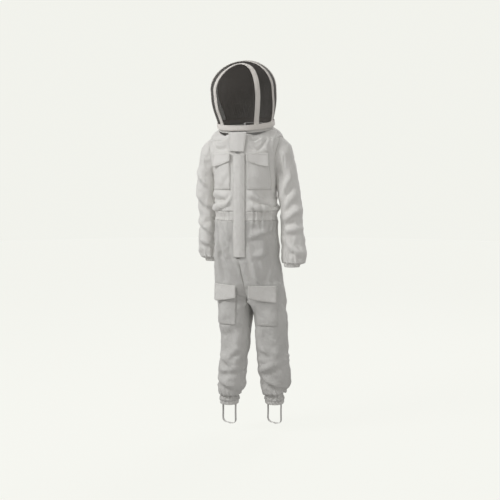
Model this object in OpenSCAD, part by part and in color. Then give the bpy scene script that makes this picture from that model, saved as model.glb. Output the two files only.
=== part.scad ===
// Beekeeping suit: a cotton coverall with a straight front zip under a fly, elastic
// wrists, waist and ankles, flap pockets and foot stirrups, and a hooped veil that
// zips round the neck and tips back off the head.
// The suit keeps the shape it has when worn. The wearer faces -Y and +X is their left.

/* [Suit] */
// Height of the middle of the neck seam above the floor
neck_h = 1462; // [1452:1:1472]
// Slope of the neck seam, low at the front, in degrees
neck_tilt = 12; // [11.5:0.5:12.5]
// Thickness of the cotton cloth with its lining
cloth_t = 1.6; // [1.2:0.1:1.7]
// Height of the top of the waist casing
waist_top = 1075; // [1074:1:1076]
// Height of the bottom of the waist casing
waist_low = 1035; // [1034:1:1036]
// Height where the two legs part
crotch_h = 665; // [660:1:670]

/* [Front zip] */
// Height of the bottom stop
zip_low = 862; // [860:1:866]
// Height of the highest teeth
zip_high = 1378; // [1374:1:1380]
// Distance from one tooth to the next on the same side
tooth_pitch = 5; // [4.6:0.1:6]
// Half the gap between the two front edges
placket_half = 7; // [7:0.5:8]
// Width of the fly that covers the zip
fly_w = 58; // [54:1:60]

/* [Veil] */
// Radius of the zip that joins the veil to the neck
neck_r = 128; // [127.5:0.5:128.5]
// Outside radius of the rim band
rim_r = 137; // [136.5:0.5:138]
// Height of the rim band
rim_h = 26; // [24:1:27]
// Radius of the veil at its widest
veil_r = 152; // [148:1:155]
// Thickness of the net
net_t = 1; // [0.8:0.1:1.2]
// Radius of the hoop rods
hoop_r = 1.9; // [1.6:0.1:1.9]

/* [Pockets and ends] */
// Width of a chest pocket
chest_pocket_w = 104; // [96:1:106]
// Width of a thigh pocket
thigh_pocket_w = 134; // [126:1:136]
// Outside radius of the wrist casings
wrist_r = 36; // [35:0.5:37]
// Outside radius of the ankle casings
ankle_r = 45; // [44:0.5:46]
// Width of the stirrup elastic
stirrup_w = 14; // [12:1:16]

/* [Hidden] */

LEFT = 1;
RIGHT = -1;
FRONT = -1;
BACK = 1;
seam_gap = 0.4;

// Torso sections from the neck to the crotch: height, rise per mm towards the back,
// middle x, half width, depth in front, depth behind
TORSO = [
    [neck_h, tan(neck_tilt), 0, 129, 126, 126],
    [1453, 0.18, 0, 151, 127.5, 130],
    [1436, 0.12, 0, 173, 128, 129],
    [1408, 0.05, 0, 186, 128, 126],
    [1360, 0.01, 0, 188, 128, 126],
    [1305, 0, 0, 173, 128, 126],
    [1245, 0, 0, 157, 128, 126],
    [1180, 0, 0, 150, 128, 123],
    [1115, 0, 0, 150, 128, 117],
    [waist_top, 0, 0, 147, 128, 112],
    [1055, 0, 0, 144, 128, 108],
    [waist_low, 0, 0, 148, 128, 112],
    [980, 0, 0, 156, 128, 121],
    [915, 0, 0, 161, 128, 128],
    [860, 0, 0, 166, 128, 132],
    [800, 0, 7, 171, 125, 132],
    [745, 0, 16, 176, 119, 126],
    [705, 0, 23, 178, 112, 118],
    [crotch_h, 0, 28, 178, 104, 112],
];
CROTCH_START = 745;

// Leg sections below the crotch: height, middle x, middle y, half width, half depth
LEFT_LEG = [
    [575, 134, 4, 79, 92],
    [500, 138, 9, 75, 86],
    [414, 141, 15, 73, 80],
    [350, 146, 19, 73, 77],
    [291, 149, 22, 71, 74],
    [250, 146, 25, 66, 68],
    [215, 139, 28, 56, 57],
    [190, 135, 30, 47, 47],
    [166, 134, 30, 45, 45],
];
RIGHT_LEG = [
    [575, -59, -6, 79, 92],
    [500, -57, -11, 75, 86],
    [414, -56, -17, 73, 80],
    [350, -64, -21, 73, 77],
    [291, -67, -25, 71, 74],
    [250, -68, -28, 66, 68],
    [215, -74, -30, 55, 56],
    [190, -78, -30, 47, 47],
    [166, -78, -30, 45, 45],
];

// Sleeve sections from shoulder to wrist: middle x, y and z, half width, half depth,
// and the lean of the section from level, in degrees
LEFT_ARM = [
    [193, 0, 1322, 76, 60, 65],
    [201, -1, 1290, 58, 56, 48],
    [208, -2, 1245, 53, 54, 28],
    [216, -4, 1195, 52, 52, 14],
    [224, -7, 1140, 52, 52, 6],
    [231, -10, 1090, 53, 52, 2],
    [231, -13, 1040, 50, 50, 0],
    [238, -16, 985, 53, 51, 0],
    [243, -19, 930, 54, 52, 0],
    [242, -21, 885, 53, 51, 0],
    [236, -23, 858, 45, 44, 0],
    [231, -24, 847, 36, 36, 0],
];
RIGHT_ARM = [
    [-193, 2, 1322, 76, 60, 65],
    [-201, 4, 1290, 58, 56, 48],
    [-208, 8, 1245, 53, 54, 28],
    [-211, 15, 1195, 52, 52, 14],
    [-211, 25, 1140, 51, 51, 6],
    [-208, 34, 1090, 50, 50, 2],
    [-207, 42, 1040, 50, 50, 0],
    [-208, 49, 985, 52, 51, 0],
    [-208, 55, 930, 53, 52, 0],
    [-205, 60, 890, 52, 51, 0],
    [-198, 62, 865, 44, 43, 0],
    [-193, 63, 855, 36, 36, 0],
];
cuff_h = 28;
ankle_h = 24;
wrist_z = 846;
right_wrist_z = 854;
ankle_z = 165;

// Armhole on the side of the torso
armhole_z = 1335;
armhole_rise = 91;
armhole_reach = 61;

// Veil: each hoop's angle from the front at the rim and at the shoulder of the dome,
// and its crown's place, y and height, over the neck ring
rim_low = 13;
rim_top = rim_low + rim_h + 1;
dome_w = 190;
dome_y = -8;
FRONT_HOOP = [38, 42, -22, 305];
MIDDLE_HOOP = [82, 79, 17, 313];
REAR_HOOP = [121, 112, 54, 311];
back_crown_y = 70;
back_crown_w = 306;
front_tape_w = 24;
middle_tape_w = 18;
rear_tape_w = 16;
tape_half_t = 2.6;
net_gap = 1.8;

// Neck zip, measured along the ring's own axis
suit_coil_w = 5;
veil_coil_w = 8.6;
coil_r = 1.2;
zip_end = 158;

// Front zip, measured from the middle of the chest
front_y = -128;
tape_y = -123.9;
tooth_front = -128.4;
tooth_back = -123.6;

white = [0.93, 0.93, 0.91];
tape_white = [0.97, 0.97, 0.96];
shade = [0.86, 0.86, 0.84];
net_black = [0.13, 0.12, 0.11, 0.75];
steel = [0.72, 0.73, 0.75];
elastic_white = [0.9, 0.9, 0.88];

// ---- Curves and sheets ----

// A smooth curve through four values a, b, c and d, between b and c
function curve4(a, b, c, d, t) =
    0.5 * ((2 * b) + (c - a) * t + (2 * a - 5 * b + 4 * c - d) * t * t
        + (3 * b - a - 3 * c + d) * t * t * t);

// The section of a table at a place counted in rows
function section_at(table, u) =
    let (last = len(table) - 1, i = min(floor(u), last - 1), t = u - i)
    curve4(table[max(i - 1, 0)], table[i], table[i + 1], table[min(i + 2, last)], t);

function mix(a, b, t) = a + (b - a) * t;
function unit(v) = v / norm(v);
function smooth(t) = let (k = min(max(t, 0), 1)) k * k * (3 - 2 * k);

// Outward direction of a grid of points, rows from the top, columns anticlockwise
function grid_normal(g, i, j) =
    let (n = len(g) - 1, m = len(g[0]) - 1,
        down = g[min(i + 1, n)][j] - g[max(i - 1, 0)][j],
        across = g[i][min(j + 1, m)] - g[i][max(j - 1, 0)])
    unit(cross(down, across));

// The grid moved outwards by a distance
function lifted(g, d) =
    [for (i = [0:len(g) - 1]) [for (j = [0:len(g[0]) - 1]) g[i][j] + d * grid_normal(g, i, j)]];

// Two triangles for each cell of a grid whose first point is number start
function cells(rows, cols, start = 0) =
    [for (i = [0:rows - 2], j = [0:cols - 2])
        let (a = start + i * cols + j, b = a + 1, c = a + cols, d = c + 1)
        each [[a, b, d], [a, d, c]]];

// A closed sheet of cloth: the grid is its outer face
module cloth_sheet(g, t = cloth_t) {
    rows = len(g);
    cols = len(g[0]);
    n = rows * cols;
    inner = lifted(g, -t);
    outside = cells(rows, cols);
    inside = [for (f = outside) [f[0] + n, f[2] + n, f[1] + n]];
    rim = concat(
        [for (j = [0:cols - 2]) j],
        [for (i = [0:rows - 2]) i * cols + cols - 1],
        [for (j = [cols - 1:-1:1]) (rows - 1) * cols + j],
        [for (i = [rows - 1:-1:1]) i * cols]);
    edges = [for (k = [0:len(rim) - 1])
        let (a = rim[k], b = rim[(k + 1) % len(rim)])
        each [[a, a + n, b + n], [a, b + n, b]]];
    polyhedron(points = concat([for (r = g) each r], [for (r = inner) each r]),
        faces = concat(outside, inside, edges), convexity = 6);
}

// A sleeve or channel: closed rings of points, outside and inside, from end to end
module hollow_run(outer, inner) {
    rows = len(outer);
    cols = len(outer[0]);
    n = rows * cols;
    function at(i, j) = i * cols + j % cols;
    skin = [for (i = [0:rows - 2], j = [0:cols - 1])
        let (a = at(i, j), b = at(i, j + 1), c = at(i + 1, j), d = at(i + 1, j + 1))
        each [[a, b, d], [a, d, c]]];
    lining = [for (f = skin) [f[0] + n, f[2] + n, f[1] + n]];
    ends = [for (j = [0:cols - 1])
        let (a = at(0, j), b = at(0, j + 1), c = at(rows - 1, j), d = at(rows - 1, j + 1))
        each [[a, a + n, b + n], [a, b + n, b], [c, d + n, c + n], [c, d, d + n]]];
    polyhedron(points = concat([for (r = outer) each r], [for (r = inner) each r]),
        faces = concat(skin, lining, ends), convexity = 8);
}

// A solid rod: closed rings of points from end to end
module solid_run(rings) {
    rows = len(rings);
    cols = len(rings[0]);
    function at(i, j) = i * cols + j % cols;
    skin = [for (i = [0:rows - 2], j = [0:cols - 1])
        let (a = at(i, j), b = at(i, j + 1), c = at(i + 1, j), d = at(i + 1, j + 1))
        each [[a, b, d], [a, d, c]]];
    first = [for (j = [cols - 1:-1:0]) at(0, j)];
    last = [for (j = [0:cols - 1]) at(rows - 1, j)];
    polyhedron(points = [for (r = rings) each r], faces = concat(skin, [first], [last]));
}

// ---- The frame: heights are counted from the floor, the origin is the neck ----

module worn() {
    translate([0, 0, -neck_h]) children();
}

module on_neck_ring() {
    rotate([neck_tilt, 0, 0]) children();
}

// ---- Torso ----

function torso_point(s, angle) =
    let (depth = sin(angle) < 0 ? s[4] : s[5], y = depth * sin(angle))
    [s[2] + s[3] * cos(angle), y, s[0] + s[1] * y];

// Angle at which the armhole cuts a section, 0 above and below it
function armhole_angle(s, face) =
    let (k = (s[0] - armhole_z) / armhole_rise,
        depth = face == FRONT ? s[4] : s[5])
    abs(k) >= 1 ? 0 : asin(armhole_reach * sqrt(1 - k * k) / depth);

BODICE_ROWS = [0, 0.5, 1, 1.5, 2, 2.5, 3, 3.5, 4, 4.5, 5, 5.5, 6.3, 7.2, 8.1, 9];

// Front bodice: from the placket edge round to the armhole and side seam
function front_grid(side) =
    [for (u = BODICE_ROWS)
        let (s = section_at(TORSO, u),
            inner = 90 - asin(placket_half / s[3]),
            outer = armhole_angle(s, FRONT) + 0.15)
        [for (c = [0:8])
            let (away = side == LEFT ? mix(inner, outer, c / 8) : mix(outer, inner, c / 8))
            torso_point(s, side == LEFT ? -away : away - 180)]];

function back_grid() =
    [for (u = BODICE_ROWS)
        let (s = section_at(TORSO, u), edge = armhole_angle(s, BACK) + 0.15)
        [for (c = [0:16]) torso_point(s, mix(edge, 180 - edge, c / 16))]];

module left_front() {
    color(white) worn() cloth_sheet(front_grid(LEFT));
}

module right_front() {
    color(white) worn() cloth_sheet(front_grid(RIGHT));
}

module back_bodice() {
    color(white) worn() cloth_sheet(back_grid());
}

// ---- Waist ----

function waist_grid(inset, first, last, low, high) =
    [for (k = [0:3])
        let (s = section_at(TORSO, mix(9, 11, mix(low, high, k / 3))))
        [for (c = [0:30])
            let (angle = mix(first, last, c / 30))
            torso_point(s - [0, 0, 0, inset, inset, inset], angle)]];

module waist_casing() {
    gap = asin(placket_half / 144);
    color(tape_white) worn()
        cloth_sheet(waist_grid(0, gap - 90, 270 - gap, 0.02, 0.98), cloth_t);
}

module waist_elastic() {
    color(elastic_white) worn() cloth_sheet(waist_grid(2.6, -50, 230, 0.15, 0.85), 1.2);
}

// ---- Legs ----

function leg_table(side) = side == LEFT ? LEFT_LEG : RIGHT_LEG;

// Row of a table at a height, for tables that run downwards
function row_of(table, z, i = 0) =
    i >= len(table) - 2 || z > table[i + 1][0]
        ? i + min(max((table[i][0] - z) / (table[i][0] - table[i + 1][0]), 0), 1)
        : row_of(table, z, i + 1);

// Share of the crotch curve that a height has passed
function crotch_share(z) =
    let (k = min(max((CROTCH_START - z) / (CROTCH_START - crotch_h), 0), 1))
    1 - sqrt(1 - k * k);

// A point of the trousers. Turn 0 is the side seam, 1 the middle of the front or back
// and 2 the inside leg seam.
function leg_point(side, face, z, turn) =
    let (s = section_at(TORSO, row_of(TORSO, z)),
        depth = face == FRONT ? s[4] : s[5],
        flank = turn <= 1 ? cos(90 * turn) : 0,
        front = turn <= 1 ? sin(90 * turn) : 2 - turn,
        hip = [s[2] + side * (s[3] * flank + seam_gap), face * depth * front, z],
        table = leg_table(side),
        l = section_at(table, row_of(table, min(z, table[0][0]))),
        leg = [l[1] + side * l[3] * cos(90 * turn), l[2] + face * l[4] * sin(90 * turn), z],
        w = smooth((crotch_h - z) / (crotch_h - table[0][0])))
    mix(hip, leg, w) + [0, face * seam_gap, 0];

LEG_ROWS = [
    waist_low - 0.6, 985, 935, 890, zip_low - 13, zip_low - 17, 795, 745, 725, 705, 685, 672,
    crotch_h, 645, 612, 575, 525, 470, 414, 375, 335, 291, 258, 236, 215, 198, 182, 166.6,
];

function leg_edge(z) =
    let (s = section_at(TORSO, row_of(TORSO, z)))
    z > zip_low - 15 ? acos(placket_half / s[3]) / 90 : 1 + crotch_share(z);

function back_edge(z) = 1 + crotch_share(z);

function leg_grid(side, face) =
    [for (z = LEG_ROWS)
        let (most = face == FRONT ? leg_edge(z) : back_edge(z))
        [for (c = [0:7])
            let (k = side * face == -1 ? 1 - c / 7 : c / 7)
            leg_point(side, face, z, most * k)]];

module left_leg_front() {
    color(shade) worn() cloth_sheet(leg_grid(LEFT, FRONT));
}

module right_leg_front() {
    color(shade) worn() cloth_sheet(leg_grid(RIGHT, FRONT));
}

module left_leg_back() {
    color(shade) worn() cloth_sheet(leg_grid(LEFT, BACK));
}

module right_leg_back() {
    color(shade) worn() cloth_sheet(leg_grid(RIGHT, BACK));
}

// ---- Sleeves ----

// The armhole's own ring on the torso, then the sections of the arm
function armhole_ring(side, n, shrink) =
    [for (j = [0:n - 1])
        let (around = side * 360 * j / n,
            z = armhole_z + (armhole_rise - shrink) * cos(around),
            y = -(armhole_reach - shrink) * sin(around) * side,
            s = section_at(TORSO, row_of(TORSO, z)),
            depth = y < 0 ? s[4] : s[5])
        [side * (s[3] * sqrt(1 - pow(y / depth, 2)) + 0.8), y, z]];

function arm_ring(s, side, n, inset) =
    [for (j = [0:n - 1])
        let (around = side * 360 * j / n, out = (s[3] - inset) * cos(around))
        [s[0] + side * out * cos(s[5]), s[1] - (s[4] - inset) * sin(around) * side,
            s[2] + out * sin(s[5])]];

function sleeve_rings(side, inset) =
    let (table = side == LEFT ? LEFT_ARM : RIGHT_ARM, n = 16)
    concat([armhole_ring(side, n, inset)],
        [for (u = [0:0.75:len(table) - 1.01]) arm_ring(section_at(table, u), side, n, inset)],
        [arm_ring(table[len(table) - 1], side, n, inset)]);

module sleeve(side) {
    hollow_run(sleeve_rings(side, 0), sleeve_rings(side, cloth_t));
}

module left_sleeve() {
    color(white) worn() sleeve(LEFT);
}

module right_sleeve() {
    color(white) worn() sleeve(RIGHT);
}

// ---- Elastic casings at the wrists and ankles ----

module casing(r, h) {
    wall = 1.2;
    channel = 3.2;
    rotate_extrude($fn = 48)
        difference() {
            translate([r - channel - 2 * wall, 0]) square([channel + 2 * wall, h]);
            translate([r - channel - wall, wall]) square([channel, h - 2 * wall]);
        }
}

module elastic_ring(r, h) {
    rotate_extrude($fn = 48) translate([r - 4, 2.4]) square([2.4, h - 4.8]);
}

module at_wrist(side) {
    end = side == LEFT ? LEFT_ARM[11] : RIGHT_ARM[11];
    top = side == LEFT ? wrist_z : right_wrist_z;
    worn() translate([end[0], end[1], top - cuff_h]) children();
}

module at_ankle(side) {
    end = leg_table(side)[8];
    worn() translate([end[1], end[2], ankle_z - ankle_h]) children();
}

module left_cuff() {
    color(tape_white) at_wrist(LEFT) casing(wrist_r, cuff_h);
}

module right_cuff() {
    color(tape_white) at_wrist(RIGHT) casing(wrist_r, cuff_h);
}

module left_wrist_elastic() {
    color(elastic_white) at_wrist(LEFT) elastic_ring(wrist_r, cuff_h);
}

module right_wrist_elastic() {
    color(elastic_white) at_wrist(RIGHT) elastic_ring(wrist_r, cuff_h);
}

module left_ankle_casing() {
    color(tape_white) at_ankle(LEFT) casing(ankle_r, ankle_h);
}

module right_ankle_casing() {
    color(tape_white) at_ankle(RIGHT) casing(ankle_r, ankle_h);
}

module left_ankle_elastic() {
    color(elastic_white) at_ankle(LEFT) elastic_ring(ankle_r, ankle_h);
}

module right_ankle_elastic() {
    color(elastic_white) at_ankle(RIGHT) elastic_ring(ankle_r, ankle_h);
}

// A stirrup runs down from both sides of the ankle and under the foot
module stirrup() {
    drop = 100;
    t = 1.4;
    r = ankle_r - 6;
    foot_r = 22;
    foot_turn = -18;
    rotate([90, 0, foot_turn])
        linear_extrude(stirrup_w, center = true)
            difference() {
                translate([-r, -drop]) square([2 * r, drop - 0.3]);
                difference() {
                    translate([t - r, t - drop]) square([2 * (r - t), drop]);
                    for (side = [LEFT, RIGHT])
                        translate([side * (r - t), t - drop]) rotate(45)
                            square(foot_r, center = true);
                }
                for (side = [LEFT, RIGHT])
                    translate([side * r, -drop]) rotate(45)
                        square(foot_r - 2 * t, center = true);
            }
}

module left_stirrup() {
    color(elastic_white) at_ankle(LEFT) stirrup();
}

module right_stirrup() {
    color(elastic_white) at_ankle(RIGHT) stirrup();
}

// ---- Front zip ----

tooth_count = floor((zip_high - zip_low) / tooth_pitch);

// Outline of one moulded tooth, pointing towards -x from its cord
function tooth_outline(z) =
    [[3, z - 1.1], [1.6, z - 1.1], [0.9, z - 0.7], [0.3, z - 0.75], [-0.2, z - 1.15],
        [-1, z - 1.1], [-1.5, z - 0.5], [-1.5, z + 0.5], [-1, z + 1.1], [-0.2, z + 1.15],
        [0.3, z + 0.75], [0.9, z + 0.7], [1.6, z + 1.1], [3, z + 1.1]];

// One side of the chain: a cord along the tape's edge with its teeth in one piece
module chain_half(side) {
    start = zip_low + (side == LEFT ? 0 : tooth_pitch / 2) + 2;
    outline = concat(
        [[4.8, start - 3]], [[3, start - 3]],
        [for (k = [0:tooth_count - 1]) each tooth_outline(start + k * tooth_pitch)],
        [[3, start + (tooth_count - 1) * tooth_pitch + 2]],
        [[4.8, start + (tooth_count - 1) * tooth_pitch + 2]]);
    depth = tooth_back - tooth_front;
    translate([0, tooth_back, 0]) rotate([90, 0, 0])
        linear_extrude(depth) polygon([for (p = outline) [side * p[0], p[1]]]);
}

module left_zip_teeth() {
    color(tape_white) worn() chain_half(LEFT);
}

module right_zip_teeth() {
    color(tape_white) worn() chain_half(RIGHT);
}

// The tape is sewn behind the front edge and its beaded edge holds the teeth
module zip_tape(side) {
    inner = 5;
    outer = 17;
    low = zip_low - 6;
    high = zip_high + 22;
    x = side == LEFT ? inner : -outer;
    translate([x, tape_y - 0.4, low]) cube([outer - inner, 0.8, high - low]);
}

module left_zip_tape() {
    color(shade) worn() zip_tape(LEFT);
}

module right_zip_tape() {
    color(shade) worn() zip_tape(RIGHT);
}

module zip_bottom_stop() {
    color(tape_white) worn() difference() {
        translate([-4.8, tooth_front - 0.4, zip_low - 10]) cube([9.6, 5.2, 8]);
        translate([-1, tooth_front - 1, zip_low - 5]) cube([2, 7, 4]);
    }
}

// Slider body: two plates over the chain, side lips, and a wedge that parts the teeth
slider_l = 17;
slider_half = 6.3;
plate_t = 1.4;
slider_z = zip_high - 5;

module slider_plate(t) {
    linear_extrude(t)
        hull() {
            translate([0, slider_l - 4]) circle(r = slider_half - 1.2, $fn = 32);
            translate([0, slider_l - 6]) circle(r = slider_half - 0.4, $fn = 32);
            translate([1 - slider_half + 1.2, 0]) square([2 * slider_half - 4.4, 1]);
        }
}

module front_slider() {
    face = tooth_front - 0.5;
    rear = tooth_back + 0.5;
    color(steel) worn() translate([0, 0, slider_z]) {
        translate([0, face, 0]) rotate([90, 0, 0]) slider_plate(plate_t);
        translate([0, rear + plate_t, 0]) rotate([90, 0, 0]) slider_plate(plate_t);
        translate([0, rear + 0.2, slider_l - 4.5]) rotate([90, 0, 0])
            linear_extrude(rear - face + 0.4)
                polygon([[0, -3.2], [1.6, 0], [0.9, 2.6], [-0.9, 2.6], [-1.6, 0]]);
        for (side = [LEFT, RIGHT])
            translate([side * (slider_half - 0.9) - 0.4, face - 0.1, 3])
                cube([0.8, 2.2, slider_l - 9]);
        translate([-1, face - plate_t, 4]) rotate([0, 90, 0])
            rotate_extrude(angle = -180, $fn = 36) translate([2.4, 0]) square([1.1, 2]);
    }
}

// The pull hangs from the slider's bridge and lies down along the chain
module front_pull() {
    y = tooth_front - 0.5 - plate_t - 1.3;
    color(steel) worn() translate([0, y, slider_z + 3]) rotate([90, 0, 0])
        linear_extrude(1.2, center = true)
            difference() {
                hull() {
                    translate([-3.5, 0]) square([7, 1]);
                    translate([0, -27]) circle(r = 4.5, $fn = 32);
                }
                translate([-1.9, -2.9]) square([3.8, 2.6]);
                translate([0, -26]) circle(r = 1.8, $fn = 32);
            }
}

// ---- Fly over the zip, sewn along its left edge ----

fly_x = 33;
fly_low = 866;
fly_high = 1342;

module zip_fly() {
    t = cloth_t;
    free = fly_x - fly_w;
    color(tape_white) worn() translate([0, 0, fly_low])
        linear_extrude(fly_high - fly_low)
            polygon([
                [fly_x, -129.4], [24, -132], [14, -136.4], [8, -137.4], [-8, -137.4],
                [-14, -136], [free + 5, -131.2], [free, -130.6],
                [free, -130.6 + t], [free + 5, -131.2 + t], [-14, -136 + t],
                [-8, -137.4 + t], [8, -137.4 + t], [14, -136.4 + t], [24, -132 + t],
                [fly_x, -129.4 + t],
            ]);
}

// Touch tape down the right front, under the fly's free edge
module fly_touch_tape() {
    length = 34;
    step = 110;
    color(shade) worn()
        for (z = [fly_low + 12:step:fly_high - length])
            translate([-25, front_y + 0.1 - 1.1, z]) cube([12, 1, length]);
}

// ---- Pockets and their flaps ----

chest_turn = 21.7;
chest_flap_out = 141.2;
chest_flap_z = 1346;
chest_along = 39;
chest_pocket_low = 1180;

// A flat place on the torso: outwards is -y, x runs along the pocket away from the middle
module on_front(side, turn, out, along, z, middle = 0) {
    worn() translate([middle, 0, z]) rotate([0, 0, side * turn])
        translate([side * along, -out, 0]) mirror([side == LEFT ? 0 : 1, 0, 0]) children();
}

// A pocket flap in its own plane: deeper at its outer end, corners cut off
module flap(w, inner_h, outer_h, t = cloth_t) {
    rotate([90, 0, 0]) linear_extrude(t)
        polygon([
            [-w / 2, 0], [w / 2, 0], [w / 2, 6 - outer_h], [w / 2 - 8, -outer_h],
            [0, -mix(inner_h, outer_h, 0.62)], [8 - w / 2, -inner_h], [-w / 2, 5 - inner_h],
        ]);
}

module chest_flap(side) {
    on_front(side, chest_turn, chest_flap_out, chest_along, chest_flap_z)
        flap(chest_pocket_w, 38, 62);
}

// A patch that lies on the torso between two angles and two heights
function chest_patch(side) =
    [for (k = [0:6])
        let (s = section_at(TORSO, row_of(TORSO, mix(chest_flap_z - 4, chest_pocket_low, k / 6))))
        [for (c = [0:8])
            let (x = mix(40, 36 + chest_pocket_w - 4, c / 8),
                angle = acos(x / s[3]))
            torso_point(s, side == LEFT ? -angle : angle - 180)]];

function turned(g) = [for (r = g) [for (j = [len(r) - 1:-1:0]) r[j]]];

module chest_pocket(side) {
    g = side == LEFT ? chest_patch(side) : turned(chest_patch(side));
    cloth_sheet(lifted(g, 2.8), cloth_t);
}

module left_chest_pocket() {
    color(white) worn() chest_pocket(LEFT);
}

module right_chest_pocket() {
    color(white) worn() chest_pocket(RIGHT);
}

module left_chest_flap() {
    color(tape_white) chest_flap(LEFT);
}

module right_chest_flap() {
    color(tape_white) chest_flap(RIGHT);
}

thigh_turn = 25;
thigh_flap_out = 134.5;
thigh_flap_z = 733;
thigh_along = 39;
thigh_pocket_low = 540;
thigh_middle = 18;

module thigh_flap(side) {
    on_front(side, thigh_turn, thigh_flap_out, thigh_along, thigh_flap_z, thigh_middle)
        flap(thigh_pocket_w, 60, 82);
}

// Where the pocket's inner edge is: it runs straight down while the leg turns away from it
function thigh_pocket_edge(z) = mix(0.9, 1.12, smooth((crotch_h - z) / 90));

function thigh_patch(side) =
    [for (k = [0:9])
        let (z = mix(thigh_flap_z - 10, thigh_pocket_low, k / 9))
        [for (c = [0:8])
            let (k = side == LEFT ? 1 - c / 8 : c / 8)
            leg_point(side, FRONT, z, mix(0.3, thigh_pocket_edge(z), k))]];

module thigh_pocket(side) {
    cloth_sheet(lifted(thigh_patch(side), 3.4), cloth_t);
}

module left_thigh_pocket() {
    color(white) worn() thigh_pocket(LEFT);
}

module right_thigh_pocket() {
    color(white) worn() thigh_pocket(RIGHT);
}

module left_thigh_flap() {
    color(tape_white) thigh_flap(LEFT);
}

module right_thigh_flap() {
    color(tape_white) thigh_flap(RIGHT);
}

// ---- Neck zip: a coil on each side of a small gap, and two sliders in front ----

// An open band round the neck ring, from one zip end to the other across the front
module neck_band(r, t, low, high, half_angle = zip_end) {
    rotate([0, 0, -90 - half_angle])
        rotate_extrude(angle = 2 * half_angle, $fn = 96)
            translate([r - t / 2, low]) square([t, high - low]);
}

module neck_coil(w) {
    rotate([0, 0, -90 - zip_end])
        rotate_extrude(angle = 2 * zip_end, $fn = 96)
            translate([neck_r, w]) circle(r = coil_r, $fn = 16);
}

module neck_zip_tape() {
    color(shade) on_neck_ring() neck_band(neck_r, 0.8, 1, suit_coil_w - coil_r);
}

module neck_zip_coil() {
    color(tape_white) on_neck_ring() neck_coil(suit_coil_w);
}

module veil_zip_tape() {
    color(shade) on_neck_ring() neck_band(neck_r, 0.8, veil_coil_w + coil_r, 22);
}

module veil_zip_coil() {
    color(tape_white) on_neck_ring() neck_coil(veil_coil_w);
}

// Strip that keeps the veil on the suit at the nape, where the zip ends
module nape_strip() {
    color(tape_white) on_neck_ring()
        rotate([0, 0, 90 - 18])
            rotate_extrude(angle = 36, $fn = 96)
                translate([neck_r + 1.6, 1.2]) square([1.2, 11]);
}

slider_arc = 8;
slider_mid_w = (suit_coil_w + veil_coil_w) / 2;

module ring_piece(r, t, low, high, from, to) {
    rotate([0, 0, from - 90])
        rotate_extrude(angle = to - from, $fn = 96)
            translate([r, low]) square([t, high - low]);
}

// Slider on the neck ring: an inner and an outer plate, joined by a thin wedge
module veil_slider(side) {
    near = side == LEFT ? 1.5 : -1.5 - slider_arc;
    far = near + slider_arc;
    half = 4.6;
    ring_piece(neck_r + 1.7, 1.4, slider_mid_w - half, slider_mid_w + half, near, far);
    ring_piece(neck_r - 3.1, 1.4, slider_mid_w - half, slider_mid_w + half, near, far);
    ring_piece(neck_r - 1.8, 3.6, slider_mid_w - 0.35, slider_mid_w + 0.35,
        near + 2.5, far - 2.5);
    ring_piece(neck_r + 3, 2, slider_mid_w - 1, slider_mid_w + 1, near + 2, near + 2.6);
    ring_piece(neck_r + 3, 2, slider_mid_w - 1, slider_mid_w + 1, far - 2.6, far - 2);
    ring_piece(neck_r + 4.9, 0.9, slider_mid_w - 1, slider_mid_w + 1, near + 2, far - 2);
}

module left_veil_slider() {
    color(steel) on_neck_ring() veil_slider(LEFT);
}

module right_veil_slider() {
    color(steel) on_neck_ring() veil_slider(RIGHT);
}

// Pull of a veil slider: hooked through the bridge, it lies along the zip
module veil_pull(side) {
    root = side * (1.5 + slider_arc / 2);
    tip = root + side * 13;
    post = side * (slider_arc - 0.8);
    difference() {
        ring_piece(neck_r + 3.4, 1.2, slider_mid_w - 2.6, slider_mid_w + 2.6,
            min(root, tip), max(root, tip));
        ring_piece(neck_r + 3, 2, slider_mid_w - 1.3, slider_mid_w + 1.3,
            post - 0.7, post + 0.7);
    }
}

module left_veil_pull() {
    color(steel) on_neck_ring() veil_pull(LEFT);
}

module right_veil_pull() {
    color(steel) on_neck_ring() veil_pull(RIGHT);
}

// ---- Rim of the veil ----

wire_r = 2;
rim_t = 6;

module rim_band() {
    wire_w = rim_low + 5;
    color(tape_white) on_neck_ring()
        rotate_extrude($fn = 96)
            difference() {
                translate([rim_r - rim_t, rim_low]) square([rim_t, rim_h]);
                translate([rim_r - rim_t / 2, wire_w]) circle(r = wire_r + 0.1, $fn = 24);
            }
}

module rim_wire() {
    color(steel) on_neck_ring()
        rotate_extrude($fn = 96)
            translate([rim_r - rim_t / 2, rim_low + 5]) circle(r = wire_r, $fn = 24);
}

// ---- Dome of the veil ----

function barrel_r(w) = mix(rim_r - rim_t / 2, veil_r, sin(90 * min((w - rim_top) / 110, 1)));

// A point of the dome over the neck ring. Below its shoulder it goes by height, above by
// a climb in degrees. Turn is the angle from the front, towards the left.
function dome_low(turn, w) =
    let (r = barrel_r(w), shift = dome_y * smooth((w - rim_top) / 110))
    [r * sin(turn), shift - r * cos(turn), w];

function dome_high(turn, climb, crown_y, crown_w) =
    let (foot = dome_low(turn, dome_w))
    [foot[0] * cos(climb), mix(foot[1], crown_y, pow(sin(climb), 2)),
        mix(dome_w, crown_w, sin(climb))];

// The place on a hoop: run goes from 0 at the right foot over 1 at the crown to 2
function hoop_point(hoop, run) =
    let (side = run < 1 ? -1 : 1,
        up = 1 - abs(run - 1),
        share = up / 0.45,
        turn = side * mix(hoop[0], hoop[1], smooth(share)),
        climb = 90 * (up - 0.45) / 0.55)
    up < 0.45 ? dome_low(turn, mix(rim_top, dome_w, share))
        : dome_high(side * hoop[1], climb, hoop[2], hoop[3]);

HOOP_RUNS = [for (k = [0:26]) k / 13];

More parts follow.
